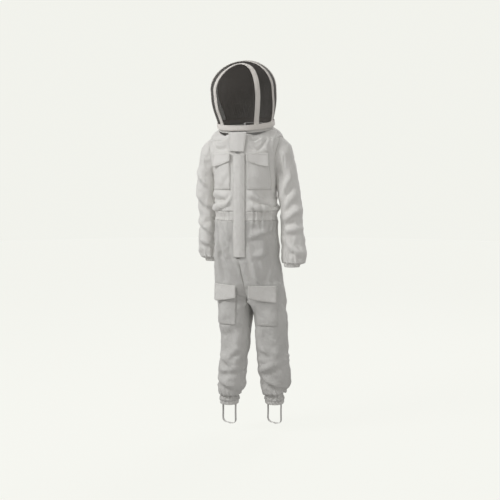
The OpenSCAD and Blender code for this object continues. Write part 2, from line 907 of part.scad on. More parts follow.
// A ring of points round a hoop in its own cross section
function hoop_ring(hoop, run, outline) =
    let (p = hoop_point(hoop, run),
        along = unit(hoop_point(hoop, min(run + 0.03, 2)) - hoop_point(hoop, max(run - 0.03, 0))),
        out = unit(p - [0, 0, 120] - ((p - [0, 0, 120]) * along) * along),
        across = cross(along, out))
    [for (q = outline) p + q[0] * across + q[1] * out];

function round_outline(r, n = 8) =
    [for (k = [0:n - 1]) let (a = -360 * (k + 0.5) / n) [r * cos(a), r * sin(a)]];

function tape_outline(w) =
    let (x = w / 2, t = tape_half_t, s = 1.2)
    [[x, -s], [x - 2, -t], [2 - x, -t], [-x, -s], [-x, s], [2 - x, t], [x - 2, t], [x, s]];

module hoop(table) {
    solid_run([for (run = HOOP_RUNS) hoop_ring(table, run, round_outline(hoop_r, 6))]);
}

module hoop_tape(table, w) {
    hollow_run([for (run = HOOP_RUNS) hoop_ring(table, run, tape_outline(w))],
        [for (run = HOOP_RUNS) hoop_ring(table, run, round_outline(hoop_r + 0.3))]);
}

module front_hoop() {
    color(steel) on_neck_ring() hoop(FRONT_HOOP);
}

module middle_hoop() {
    color(steel) on_neck_ring() hoop(MIDDLE_HOOP);
}

module rear_hoop() {
    color(steel) on_neck_ring() hoop(REAR_HOOP);
}

module front_hoop_tape() {
    color(tape_white) on_neck_ring() hoop_tape(FRONT_HOOP, front_tape_w);
}

module middle_hoop_tape() {
    color(tape_white) on_neck_ring() hoop_tape(MIDDLE_HOOP, middle_tape_w);
}

module rear_hoop_tape() {
    color(tape_white) on_neck_ring() hoop_tape(REAR_HOOP, rear_tape_w);
}

// Net stretched over the head between two hoops, clear of their tapes
function band_grid(fore, aft, fore_w, aft_w) =
    [for (run = HOOP_RUNS)
        let (a = hoop_point(fore, run), b = hoop_point(aft, run), d = norm(b - a))
        [for (k = [0:4])
            mix(a, b, mix((fore_w / 2 + net_gap) / d, 1 - (aft_w / 2 + net_gap) / d, k / 4))]];

module fore_side_net() {
    color(net_black) on_neck_ring()
        cloth_sheet(lifted(band_grid(FRONT_HOOP, MIDDLE_HOOP, front_tape_w, middle_tape_w),
            net_t / 2), net_t);
}

module aft_side_net() {
    color(net_black) on_neck_ring()
        cloth_sheet(lifted(band_grid(MIDDLE_HOOP, REAR_HOOP, middle_tape_w, rear_tape_w),
            net_t / 2), net_t);
}

// Front window of net: bulges between the legs of the front hoop, up to its crown
function window_edge(p) = atan2(p[0], dome_y - p[1]);

function front_net_grid() =
    concat(
        [for (climb = [70, 60, 50, 40, 30, 20, 10])
            let (inset = (front_tape_w / 2 + net_gap + 1.8) / (veil_r * cos(climb)) * 180 / PI,
                edge = FRONT_HOOP[1] - inset)
            [for (c = [0:8])
                dome_high(mix(-edge, edge, c / 8), climb, FRONT_HOOP[2], FRONT_HOOP[3])]],
        [for (k = [0:6])
            let (w = mix(dome_w, rim_top, k / 6),
                share = smooth((w - rim_top) / (dome_w - rim_top)),
                edge = mix(FRONT_HOOP[0], FRONT_HOOP[1], share) - 7)
            [for (c = [0:8]) dome_low(mix(-edge, edge, c / 8), w)]]);

module front_net() {
    color(net_black) on_neck_ring() cloth_sheet(front_net_grid(), net_t);
}

// Cotton crown: from the rear hoop's tape round the back of the head
function crown_grid() =
    concat(
        [for (climb = [84, 75, 65, 54, 42, 30, 18, 8])
            let (inset = (rear_tape_w / 2 + 0.8) / (veil_r * max(cos(climb), 0.35)) * 180 / PI,
                edge = REAR_HOOP[1] + inset)
            [for (c = [0:12])
                let (k = c / 12, back = 1 - abs(2 * k - 1))
                dome_high(mix(edge, 360 - edge, k), climb,
                    mix(REAR_HOOP[2] + 10, back_crown_y, smooth(back)),
                    mix(REAR_HOOP[3] - 2, back_crown_w, smooth(back)))]],
        [for (k = [0:6])
            let (w = mix(dome_w, rim_top, k / 6),
                share = smooth((w - rim_top) / (dome_w - rim_top)),
                edge = mix(REAR_HOOP[0], REAR_HOOP[1], share) + 4)
            [for (c = [0:12]) dome_low(mix(edge, 360 - edge, c / 12), w)]]);

module crown_panel() {
    color(white) on_neck_ring() cloth_sheet(crown_grid(), cloth_t);
}

// ---- Flap over the junction of the zips, sewn under the rim ----

flap_top = 1442;
flap_low = 1354;

module neck_flap() {
    color(tape_white) worn()
        cloth_sheet([for (k = [0:5])
            let (z = mix(flap_top, flap_low, k / 5), half = mix(43, 37, k / 5))
            [for (c = [0:8])
                let (x = mix(-half, half, c / 8))
                [x - 8 * k / 5, -140 + 4 * k / 5 + x * x / 300, z]]]);
}

left_front();
right_front();
back_bodice();
left_sleeve();
right_sleeve();
left_cuff();
right_cuff();
left_wrist_elastic();
right_wrist_elastic();
waist_casing();
waist_elastic();
left_leg_front();
right_leg_front();
left_leg_back();
right_leg_back();
left_ankle_casing();
right_ankle_casing();
left_ankle_elastic();
right_ankle_elastic();
left_stirrup();
right_stirrup();
left_zip_tape();
right_zip_tape();
left_zip_teeth();
right_zip_teeth();
zip_bottom_stop();
front_slider();
front_pull();
zip_fly();
fly_touch_tape();
left_chest_pocket();
right_chest_pocket();
left_chest_flap();
right_chest_flap();
left_thigh_pocket();
right_thigh_pocket();
left_thigh_flap();
right_thigh_flap();
neck_zip_tape();
neck_zip_coil();
nape_strip();
left_veil_slider();
right_veil_slider();
left_veil_pull();
right_veil_pull();
veil_zip_tape();
veil_zip_coil();
rim_band();
rim_wire();
front_hoop();
middle_hoop();
rear_hoop();
front_hoop_tape();
middle_hoop_tape();
rear_hoop_tape();
front_net();
fore_side_net();
aft_side_net();
crown_panel();
neck_flap();
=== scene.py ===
# %% [markdown]
# # A beekeeping suit
# The suit is one cotton coverall with a hooped veil zipped to its neck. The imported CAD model
# gives every place and size, so it is loaded first and never moved. The cloth is then made
# over it, because a loft is smooth and stiff, and cotton on a body creases and hangs.

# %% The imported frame
import math
import bmesh
import bpy
import numpy as np
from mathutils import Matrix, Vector, noise
from mathutils.bvhtree import BVHTree


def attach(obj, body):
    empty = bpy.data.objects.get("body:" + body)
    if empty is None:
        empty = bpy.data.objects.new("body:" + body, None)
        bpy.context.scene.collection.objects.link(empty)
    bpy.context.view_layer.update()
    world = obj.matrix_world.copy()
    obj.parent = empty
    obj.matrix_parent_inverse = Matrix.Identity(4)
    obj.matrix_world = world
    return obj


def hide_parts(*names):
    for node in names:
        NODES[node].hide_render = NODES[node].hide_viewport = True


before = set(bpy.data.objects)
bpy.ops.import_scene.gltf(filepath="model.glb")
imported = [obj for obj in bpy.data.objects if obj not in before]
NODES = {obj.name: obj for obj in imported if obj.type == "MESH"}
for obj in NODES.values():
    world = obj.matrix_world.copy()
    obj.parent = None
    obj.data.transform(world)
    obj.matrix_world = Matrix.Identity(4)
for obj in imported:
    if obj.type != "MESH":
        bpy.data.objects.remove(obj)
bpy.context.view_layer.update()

# %% [markdown]
# The camera stands at chest height, about four paces away and a little to the wearer's left.
# The floor curves up into a wall, so that nothing but the suit has an edge, and three large
# soft lamps leave only faint shadows, as a studio does for white clothes.

# %% Camera, floor and lamps
CAMERA_TURN = math.radians(17)
CAMERA_FAR = 3.75
FLOOR_Z = -1.462
aim = Vector((0.018, 0, -0.573))
back = Vector((math.sin(CAMERA_TURN), -math.cos(CAMERA_TURN), 0))
camera = bpy.data.objects.new("camera", bpy.data.cameras.new("camera"))
bpy.context.collection.objects.link(camera)
camera.location = aim + back * CAMERA_FAR + Vector((0, 0, 0.36))
camera.rotation_euler = (aim - camera.location).to_track_quat("-Z", "Y").to_euler()
camera.data.sensor_width = 36
camera.data.lens = 56.6
bpy.context.scene.camera = camera


def make_mesh(name, points, faces, finish, smooth=True):
    mesh = bpy.data.meshes.new(name)
    mesh.from_pydata([tuple(p) for p in points], [], [tuple(f) for f in faces])
    mesh.polygons.foreach_set("use_smooth", [smooth] * len(mesh.polygons))
    if finish:
        mesh.materials.append(finish)
    piece = bpy.data.objects.new(name, mesh)
    bpy.context.collection.objects.link(piece)
    return piece


def add_lamp(name, place, towards, size, power):
    lamp = bpy.data.objects.new(name, bpy.data.lights.new(name, "AREA"))
    lamp.data.size = size
    lamp.data.energy = power
    lamp.location = place
    lamp.rotation_euler = (Vector(towards) - Vector(place)).to_track_quat("-Z", "Y").to_euler()
    bpy.context.collection.objects.link(lamp)


add_lamp("key_lamp", (-2.1, -1.9, 1.5), (0, 0, -0.35), 1.1, 54)
add_lamp("fill_lamp", (2.6, -2.6, 0.8), (0, 0, -0.5), 2.4, 19)
add_lamp("rim_lamp", (0.6, 2.6, 1.9), (0, 0, -0.4), 2.0, 42)
world = bpy.data.worlds.new("studio")
world.use_nodes = True
world.node_tree.nodes["Background"].inputs["Color"].default_value = (0.97, 0.95, 0.92, 1)
world.node_tree.nodes["Background"].inputs["Strength"].default_value = 0.38
bpy.context.scene.world = world
bpy.context.scene.view_settings.view_transform = "Standard"

PAPER = (0.88, 0.885, 0.835, 1)


def lit_paper(name, base, glow):
    paper = bpy.data.materials.new(name)
    paper.use_nodes = True
    shader = paper.node_tree.nodes["Principled BSDF"]
    shader.inputs["Base Color"].default_value = (base, base, base, 1)
    shader.inputs["Roughness"].default_value = 0.95
    shader.inputs["Emission Color"].default_value = PAPER
    shader.inputs["Emission Strength"].default_value = glow
    return paper


def backdrop_ring(radius, z):
    return [(radius * math.cos(math.tau * k / 48), radius * math.sin(math.tau * k / 48), z) for k in range(48)]


WALL_FAR = 12
ring_heights = [(WALL_FAR, FLOOR_Z), (WALL_FAR, FLOOR_Z + 6), (WALL_FAR * 0.8, FLOOR_Z + 11), (0.1, FLOOR_Z + 14)]
wall_points = [p for ring in ring_heights for p in backdrop_ring(*ring)]
wall_faces = [(48 * r + k, 48 * r + 48 + k, 48 * r + 48 + (k + 1) % 48, 48 * r + (k + 1) % 48)
              for r in range(3) for k in range(48)]
wall = make_mesh("wall", wall_points, wall_faces, lit_paper("wall_paper", 0.0, 1.0))
floor = make_mesh("floor", backdrop_ring(WALL_FAR, FLOOR_Z), [range(48)], lit_paper("floor_paper", 0.05, 0.97))
for stage in (wall, floor):
    stage.visible_diffuse = False
    stage.visible_glossy = False
wall.visible_shadow = False
print("camera", [round(v, 3) for v in camera.location], "lens", camera.data.lens)

# %% [markdown]
# The coverall is a heavy cotton and polyester twill: fine diagonal ribs, a dry soft sheen,
# and thread that is a little uneven. Two crossed waves make the weave at its real pitch, and
# slow noise gives the crumpled tone that white cloth has. All of it is laid out in metres,
# so every panel has the same weave. The legs have a darker copy of the same cotton, which is
# painted shade for the light that falls off towards the floor.

# %% Cloth finishes
THREAD = 0.0009


def new_finish(name, colour, rough, metal=0.0, sheen=0.0):
    finish = bpy.data.materials.new(name)
    finish.use_nodes = True
    shader = finish.node_tree.nodes["Principled BSDF"]
    shader.inputs["Base Color"].default_value = (*colour, 1)
    shader.inputs["Roughness"].default_value = rough
    shader.inputs["Metallic"].default_value = metal
    if sheen:
        shader.inputs["Sheen Weight"].default_value = sheen
        shader.inputs["Sheen Roughness"].default_value = 0.5
    return finish, finish.node_tree, shader


def texture(tree, kind, **values):
    node = tree.nodes.new(kind)
    for key, value in values.items():
        if key in node.inputs:
            node.inputs[key].default_value = value
        else:
            setattr(node, key, value)
    return node


def place_on(tree, node, turn=(0, 0, 0), stretch=(1, 1, 1)):
    where = tree.nodes.new("ShaderNodeTexCoord")
    mapping = tree.nodes.new("ShaderNodeMapping")
    mapping.inputs["Rotation"].default_value = turn
    mapping.inputs["Scale"].default_value = stretch
    tree.links.new(where.outputs["Object"], mapping.inputs["Vector"])
    tree.links.new(mapping.outputs["Vector"], node.inputs["Vector"])
    return node


def maths(tree, how, a, b):
    node = tree.nodes.new("ShaderNodeMath")
    node.operation = how
    for k, value in enumerate((a, b)):
        if isinstance(value, (int, float)):
            node.inputs[k].default_value = value
        else:
            tree.links.new(value, node.inputs[k])
    return node.outputs[0]


def tone(tree, value, shader, dark, light):
    ramp = tree.nodes.new("ShaderNodeValToRGB")
    ramp.color_ramp.elements[0].position = 0.3
    ramp.color_ramp.elements[0].color = (*dark, 1)
    ramp.color_ramp.elements[1].position = 0.7
    ramp.color_ramp.elements[1].color = (*light, 1)
    tree.links.new(value, ramp.inputs[0])
    tree.links.new(ramp.outputs[0], shader.inputs["Base Color"])


def relief(tree, value, shader, depth, strength=1.0):
    bump = tree.nodes.new("ShaderNodeBump")
    bump.inputs["Distance"].default_value = depth
    bump.inputs["Strength"].default_value = strength
    tree.links.new(value, bump.inputs["Height"])
    tree.links.new(bump.outputs[0], shader.inputs["Normal"])
    return bump


def weave(tree, pitch, turn=0.6):
    scale = 0.314 / pitch
    rib = place_on(tree, texture(tree, "ShaderNodeTexWave", Scale=scale, Distortion=0.4), (0, turn, 0))
    pick = place_on(tree, texture(tree, "ShaderNodeTexWave", Scale=scale, Distortion=0.4), (0.3, turn - 1.4, 0.5))
    return maths(tree, "MULTIPLY", rib.outputs["Fac"], pick.outputs["Fac"])


def cotton(name, dark, light, crumple=0.0012, pitch=THREAD):
    finish, tree, shader = new_finish(name, light, 0.86, sheen=0.25)
    cloud = place_on(tree, texture(tree, "ShaderNodeTexNoise", Scale=7.0, Detail=6.0, Roughness=0.62))
    tone(tree, cloud.outputs["Fac"], shader, dark, light)
    crease = place_on(tree, texture(tree, "ShaderNodeTexNoise", Scale=34.0, Detail=5.0, Roughness=0.55,
                                    Distortion=0.8), stretch=(1, 1, 0.6))
    soft = relief(tree, crease.outputs["Fac"], shader, crumple * 4)
    fine = tree.nodes.new("ShaderNodeBump")
    fine.inputs["Distance"].default_value = 0.0003
    fine.inputs["Strength"].default_value = 0.6
    tree.links.new(weave(tree, pitch), fine.inputs["Height"])
    tree.links.new(soft.outputs[0], fine.inputs["Normal"])
    tree.links.new(fine.outputs[0], shader.inputs["Normal"])
    return finish


top_cotton = cotton("top_cotton", (0.76, 0.75, 0.725), (0.84, 0.835, 0.81))
# The legs' cotton is the same cloth painted darker: painted shade for light falling off towards the floor.
shaded_leg_cotton = cotton("shaded_leg_cotton", (0.615, 0.61, 0.59), (0.70, 0.695, 0.675), 0.0015)
trim_cotton = cotton("trim_cotton", (0.80, 0.79, 0.765), (0.88, 0.875, 0.85), 0.0007)
crown_cotton = cotton("crown_cotton", (0.72, 0.71, 0.68), (0.80, 0.795, 0.77), 0.0011)
veil_tape = cotton("veil_tape", (0.80, 0.76, 0.715), (0.88, 0.85, 0.81), 0.0005)
FINISHES = [top_cotton, shaded_leg_cotton, trim_cotton, crown_cotton, veil_tape]
print("cloth finishes", len(FINISHES), "thread pitch mm", THREAD * 1000)

# %% [markdown]
# The small parts have their own finishes: ribbed elastic, herringbone zip tape, moulded
# plastic teeth, plated metal for sliders and hoops, and a black knitted net. The net is
# mostly holes, so its alpha is a grid of threads, with enough thread to read as black.

# %% Finishes of elastic, zips, metal and net
def ribbed(name, colour, pitch, depth, rough=0.7):
    finish, tree, shader = new_finish(name, colour, rough, sheen=0.15)
    rib = place_on(tree, texture(tree, "ShaderNodeTexWave", Scale=0.314 / pitch, Distortion=0.3), (0, 1.571, 0))
    dirt = place_on(tree, texture(tree, "ShaderNodeTexNoise", Scale=40.0, Detail=3.0))
    darker = tuple(c * 0.86 for c in colour)
    tone(tree, maths(tree, "MULTIPLY_ADD", rib.outputs["Fac"], 0.5), shader, darker, colour)
    tree.links.new(dirt.outputs["Fac"], tree.nodes["Math"].inputs[2])
    relief(tree, rib.outputs["Fac"], shader, depth)
    return finish


def moulded(name, colour, rough, grain, depth, metal=0.0):
    finish, tree, shader = new_finish(name, colour, rough, metal)
    speck = place_on(tree, texture(tree, "ShaderNodeTexNoise", Scale=grain, Detail=4.0))
    tone(tree, speck.outputs["Fac"], shader, tuple(c * 0.9 for c in colour), colour)
    relief(tree, speck.outputs["Fac"], shader, depth, 0.5)
    return finish


woven_elastic = ribbed("woven_elastic", (0.80, 0.79, 0.77), 0.0016, 0.0005)
tape_weave = ribbed("tape_weave", (0.79, 0.78, 0.75), 0.0011, 0.0002, 0.8)
white_plastic = moulded("white_plastic", (0.84, 0.83, 0.80), 0.42, 260, 0.0002)
plated_metal = moulded("plated_metal", (0.62, 0.62, 0.63), 0.28, 420, 0.0001, 1.0)
spring_steel = moulded("spring_steel", (0.55, 0.56, 0.58), 0.33, 300, 0.0001, 1.0)
sewing_thread = moulded("sewing_thread", (0.70, 0.69, 0.66), 0.8, 900, 0.0001)
bar_ink = moulded("bar_ink", (0.035, 0.035, 0.04), 0.8, 300, 0.0001)

NET_PITCH = 0.0016
net_black, net_tree, net_shader = new_finish("net_black", (0.020, 0.015, 0.011), 0.75)
across = place_on(net_tree, texture(net_tree, "ShaderNodeTexWave", Scale=0.314 / NET_PITCH), (0, 0.785, 0))
along = place_on(net_tree, texture(net_tree, "ShaderNodeTexWave", Scale=0.314 / NET_PITCH), (0, -0.785, 0))
thread = maths(net_tree, "MAXIMUM", across.outputs["Fac"], along.outputs["Fac"])
NET_COVER = 0.34
solid_part = maths(net_tree, "MULTIPLY_ADD", thread, 0.55)
net_tree.nodes["Math.001"].inputs[2].default_value = NET_COVER
net_tree.links.new(solid_part, net_shader.inputs["Alpha"])
relief(net_tree, thread, net_shader, 0.0003)
print("net pitch mm", NET_PITCH * 1000)

# %% [markdown]
# ## The coverall's cloth
# A coverall is sewn from panels, and the whole of it hangs together: weight goes from the
# shoulders to the elastic at the waist, wrists and ankles, where the spare length bags. So
# all panels are lofted on shared seams, welded into one mesh, dressed over a slimmer body
# with cloth simulation, and only then cut apart again along the seams. The sections below
# are the same ones the CAD panels were made from, in millimetres above the floor.

# %% Sections of the torso, legs and arms
NECK_H = 1462
CROTCH_START = 745
CROTCH_H = 665
LEFT = 1
RIGHT = -1
FRONT = -1
BACK = 1
TORSO = np.array([
    [NECK_H, 0.2126, 0, 129, 126, 126], [1453, 0.18, 0, 151, 127.5, 130],
    [1436, 0.12, 0, 173, 128, 129], [1408, 0.05, 0, 186, 128, 126],
    [1360, 0.01, 0, 188, 128, 126], [1305, 0, 0, 173, 128, 126],
    [1245, 0, 0, 157, 128, 126], [1180, 0, 0, 150, 128, 123],
    [1115, 0, 0, 150, 128, 117], [1075, 0, 0, 147, 128, 112],
    [1055, 0, 0, 144, 128, 108], [1035, 0, 0, 148, 128, 112],
    [980, 0, 0, 156, 128, 121], [915, 0, 0, 161, 128, 128],
    [860, 0, 0, 166, 128, 132], [800, 0, 7, 171, 125, 132],
    [745, 0, 16, 176, 119, 126], [705, 0, 23, 178, 112, 118],
    [CROTCH_H, 0, 28, 178, 104, 112],
])
LEGS = {
    LEFT: np.array([
        [575, 134, 4, 79, 92], [500, 138, 9, 75, 86], [414, 141, 15, 73, 80],
        [350, 146, 19, 73, 77], [291, 149, 22, 71, 74], [250, 146, 25, 66, 68],
        [215, 139, 28, 56, 57], [190, 135, 30, 47, 47], [166, 134, 30, 45, 45]]),
    RIGHT: np.array([
        [575, -59, -6, 79, 92], [500, -57, -11, 75, 86], [414, -56, -17, 73, 80],
        [350, -64, -21, 73, 77], [291, -67, -25, 71, 74], [250, -68, -28, 66, 68],
        [215, -74, -30, 55, 56], [190, -78, -30, 47, 47], [166, -78, -30, 45, 45]]),
}
ARMS = {
    LEFT: np.array([
        [193, 0, 1322, 76, 60, 65], [201, -1, 1290, 58, 56, 48], [208, -2, 1245, 53, 54, 28],
        [216, -4, 1195, 52, 52, 14], [224, -7, 1140, 52, 52, 6], [231, -10, 1090, 53, 52, 2],
        [231, -13, 1040, 50, 50, 0], [238, -16, 985, 53, 51, 0], [243, -19, 930, 54, 52, 0],
        [242, -21, 885, 53, 51, 0], [236, -23, 858, 45, 44, 0], [231, -24, 847, 36, 36, 0]]),
    RIGHT: np.array([
        [-193, 2, 1322, 76, 60, 65], [-201, 4, 1290, 58, 56, 48], [-208, 8, 1245, 53, 54, 28],
        [-211, 15, 1195, 52, 52, 14], [-211, 25, 1140, 51, 51, 6], [-208, 34, 1090, 50, 50, 2],
        [-207, 42, 1040, 50, 50, 0], [-208, 49, 985, 52, 51, 0], [-208, 55, 930, 53, 52, 0],
        [-205, 60, 890, 52, 51, 0], [-198, 62, 865, 44, 43, 0], [-193, 63, 855, 36, 36, 0]]),
}
ARMHOLE = (1335, 91, 61)
PLACKET = 7
ZIP_LOW = 862


def section_at(table, u):
    last = len(table) - 1
    i = min(int(math.floor(u)), last - 1)
    t = u - i
    a, b, c, d = table[max(i - 1, 0)], table[i], table[i + 1], table[min(i + 2, last)]
    return 0.5 * (2 * b + (c - a) * t + (2 * a - 5 * b + 4 * c - d) * t ** 2
                  + (3 * b - a - 3 * c + d) * t ** 3)


def row_of(table, z):
    i = 0
    while i < len(table) - 2 and z <= table[i + 1][0]:
        i += 1
    return i + min(max((table[i][0] - z) / (table[i][0] - table[i + 1][0]), 0), 1)


def smooth(t):
    k = min(max(t, 0.0), 1.0)
    return k * k * (3 - 2 * k)


def sin(degrees):
    return math.sin(math.radians(degrees))


def cos(degrees):
    return math.cos(math.radians(degrees))


def torso_point(s, angle):
    y = (s[4] if sin(angle) < 0 else s[5]) * sin(angle)
    return (s[2] + s[3] * cos(angle), y, s[0] + s[1] * y)


def armhole_angle(s, z, face):
    k = (z - ARMHOLE[0]) / ARMHOLE[1]
    if abs(k) >= 1:
        return 0.0
    return math.degrees(math.asin(ARMHOLE[2] * math.sqrt(1 - k * k) / (s[4] if face == FRONT else s[5])))


def crotch_share(z):
    k = min(max((CROTCH_START - z) / (CROTCH_START - CROTCH_H), 0), 1)
    return 1 - math.sqrt(1 - k * k)


def centre_turn(z, face):
    s = section_at(TORSO, row_of(TORSO, z))
    if face == FRONT and z > ZIP_LOW - 15:
        return math.degrees(math.acos(PLACKET / s[3])) / 90
    return 1 + crotch_share(z)


LEG_GAP = 3.5


def leg_point(side, face, z, turn):
    s = section_at(TORSO, row_of(TORSO, z))
    flank = cos(90 * turn) if turn <= 1 else 0
    front = sin(90 * turn) if turn <= 1 else 2 - turn
    edge = centre_turn(z, face)
    gap = LEG_GAP * smooth((CROTCH_START - z) / 30) * smooth((edge - turn) / 0.12) * smooth((turn - 0.7) / 0.3)
    hip = np.array([s[2] + side * (s[3] * flank + gap), face * (s[4] if face == FRONT else s[5]) * front, z])
    table = LEGS[side]
    l = section_at(table, row_of(table, min(z, table[0][0])))
    leg = np.array([l[1] + side * l[3] * cos(90 * turn), l[2] + face * l[4] * sin(90 * turn), z])
    w = smooth((CROTCH_H - z) / (CROTCH_H - table[0][0]))
    return hip + (leg - hip) * w


print("torso sections", len(TORSO), "leg", len(LEGS[LEFT]), "arm", len(ARMS[LEFT]))

# %% [markdown]
# Every panel is a grid, rows from the top and columns anticlockwise seen from above, so its
# faces look outwards. Rows crowd near the top and bottom of the armhole, where its edge turns.
# The sleeve's first ring is the torso's own armhole edge, so the two share their points.

# %% Loft the panels on shared seams
AROUND = [0, 14, 24, 33, 41, 49, 56, 62, 68, 74, 79, 85, 90]
AROUND = AROUND + [180 - a for a in AROUND[-2::-1]]
HALF = 26
shoulder_rows = [(section_at(TORSO, u), section_at(TORSO, u)[0]) for u in np.arange(0, 2.26, 0.25)]
armhole_rows = [(section_at(TORSO, row_of(TORSO, z)), z) for z in (ARMHOLE[0] + ARMHOLE[1] * cos(a) for a in AROUND)]
side_rows = [(section_at(TORSO, row_of(TORSO, z)), z) for z in np.linspace(1244, 1035, 25)[1:]]
TORSO_ROWS = shoulder_rows + armhole_rows + side_rows
LEG_ROWS = list(np.linspace(1035, 166, 98))


def mix(a, b, t):
    return a + (b - a) * t


def front_grid(side):
    rows = []
    for s, z in TORSO_ROWS:
        inner = 90 - math.degrees(math.asin(PLACKET / s[3]))
        outer = armhole_angle(s, z, FRONT)
        line = [mix(inner, outer, c / HALF) for c in range(HALF + 1)]
        angles = [-a for a in line] if side == LEFT else [a - 180 for a in line[::-1]]
        rows.append([torso_point(s, a) for a in angles])
    return rows


def back_grid():
    rows = []
    for s, z in TORSO_ROWS:
        edge = armhole_angle(s, z, BACK)
        rows.append([torso_point(s, mix(edge, 180 - edge, c / (2 * HALF))) for c in range(2 * HALF + 1)])
    return rows


def leg_grid(side, face):
    rows = []
    for z in LEG_ROWS:
        most = centre_turn(z, face)
        shares = [c / HALF for c in range(HALF + 1)]
        if side * face == -1:
            shares = shares[::-1]
        rows.append([leg_point(side, face, z, most * k) for k in shares])
    return rows


def sleeve_grid(side):
    turns = AROUND + [360 - a for a in AROUND[-2::-1]]
    rings = [[]]
    for a in turns:
        z = ARMHOLE[0] + ARMHOLE[1] * cos(a)
        s = section_at(TORSO, row_of(TORSO, z))
        angle = armhole_angle(s, z, FRONT if a <= 180 else BACK)
        angle = -angle if a <= 180 else angle
        rings[0].append(torso_point(s, angle if side == LEFT else 180 - angle))
    for u in np.arange(0, 11.01, 0.2):
        s = section_at(ARMS[side], min(u, 11))
        rings.append([(s[0] + side * s[3] * cos(a) * cos(s[5]), s[1] - s[4] * sin(a),
                       s[2] + s[3] * cos(a) * sin(s[5])) for a in turns])
    cap = [[tuple(mix(np.array(p), np.array(q), k / 5)) for p, q in zip(rings[0], rings[1])] for k in range(1, 5)]
    rings = rings[:1] + cap + rings[1:]
    return [ring[::-1] for ring in rings] if side == LEFT else rings


PANELS = {
    "left_front": front_grid(LEFT), "right_front": front_grid(RIGHT), "back_bodice": back_grid(),
    "left_sleeve": sleeve_grid(LEFT), "right_sleeve": sleeve_grid(RIGHT),
    "left_leg_front": leg_grid(LEFT, FRONT), "right_leg_front": leg_grid(RIGHT, FRONT),
    "left_leg_back": leg_grid(LEFT, BACK), "right_leg_back": leg_grid(RIGHT, BACK),
}
PANEL_NAMES = list(PANELS)
WAIST = "waist_casing"


def to_frame(p):
    return (p[0] / 1000, p[1] / 1000, (p[2] - NECK_H) / 1000)


def loft_coverall():
    points, faces, owner = [], [], []
    for number, rows in enumerate(PANELS.values()):
        start, cols = len(points), len(rows[0])
        for row in rows:
            points.extend(to_frame(p) for p in row)
        for i in range(len(rows) - 1):
            for j in range(cols - 1):
                a = start + i * cols + j
                faces.append((a, a + cols, a + cols + 1, a + 1))
                high = (points[a][2] + points[a + cols][2]) / 2 * 1000 + NECK_H
                at_waist = number < 3 and high < 1077
                owner.append(len(PANEL_NAMES) if at_waist else number)
    cloth = make_mesh("coverall", points, faces, None)
    for name in [*PANEL_NAMES, WAIST]:
        cloth.data.materials.append(None)
    cloth.data.polygons.foreach_set("material_index", owner)
    shape = bmesh.new()
    shape.from_mesh(cloth.data)
    bmesh.ops.remove_doubles(shape, verts=shape.verts, dist=0.0004)
    bmesh.ops.triangulate(shape, faces=[f for f in shape.faces if len(f.verts) > 4])
    shape.to_mesh(cloth.data)
    shape.free()
    return cloth


coverall = loft_coverall()
mesh = coverall.data
count = len(mesh.vertices)
loft = np.zeros(count * 3, np.float32)
mesh.vertices.foreach_get("co", loft)
loft = loft.reshape(-1, 3).astype(float)
print("coverall points", count, "faces", len(mesh.polygons))

# %% [markdown]
# Cotton never hangs as smooth as a loft. The long folds that a wearer's stance makes, from
# hip to crotch and round the elbows, are pushed into the loft first, so the cloth has that
# much length to spare there. The simulation then lets all of it sag and settle.

# %% Where the long folds run
TOP = (0, 1, 2, len(PANEL_NAMES))
SLEEVES = {LEFT: (3,), RIGHT: (4,)}
TROUSERS = {LEFT: (5, 7), RIGHT: (6, 8)}
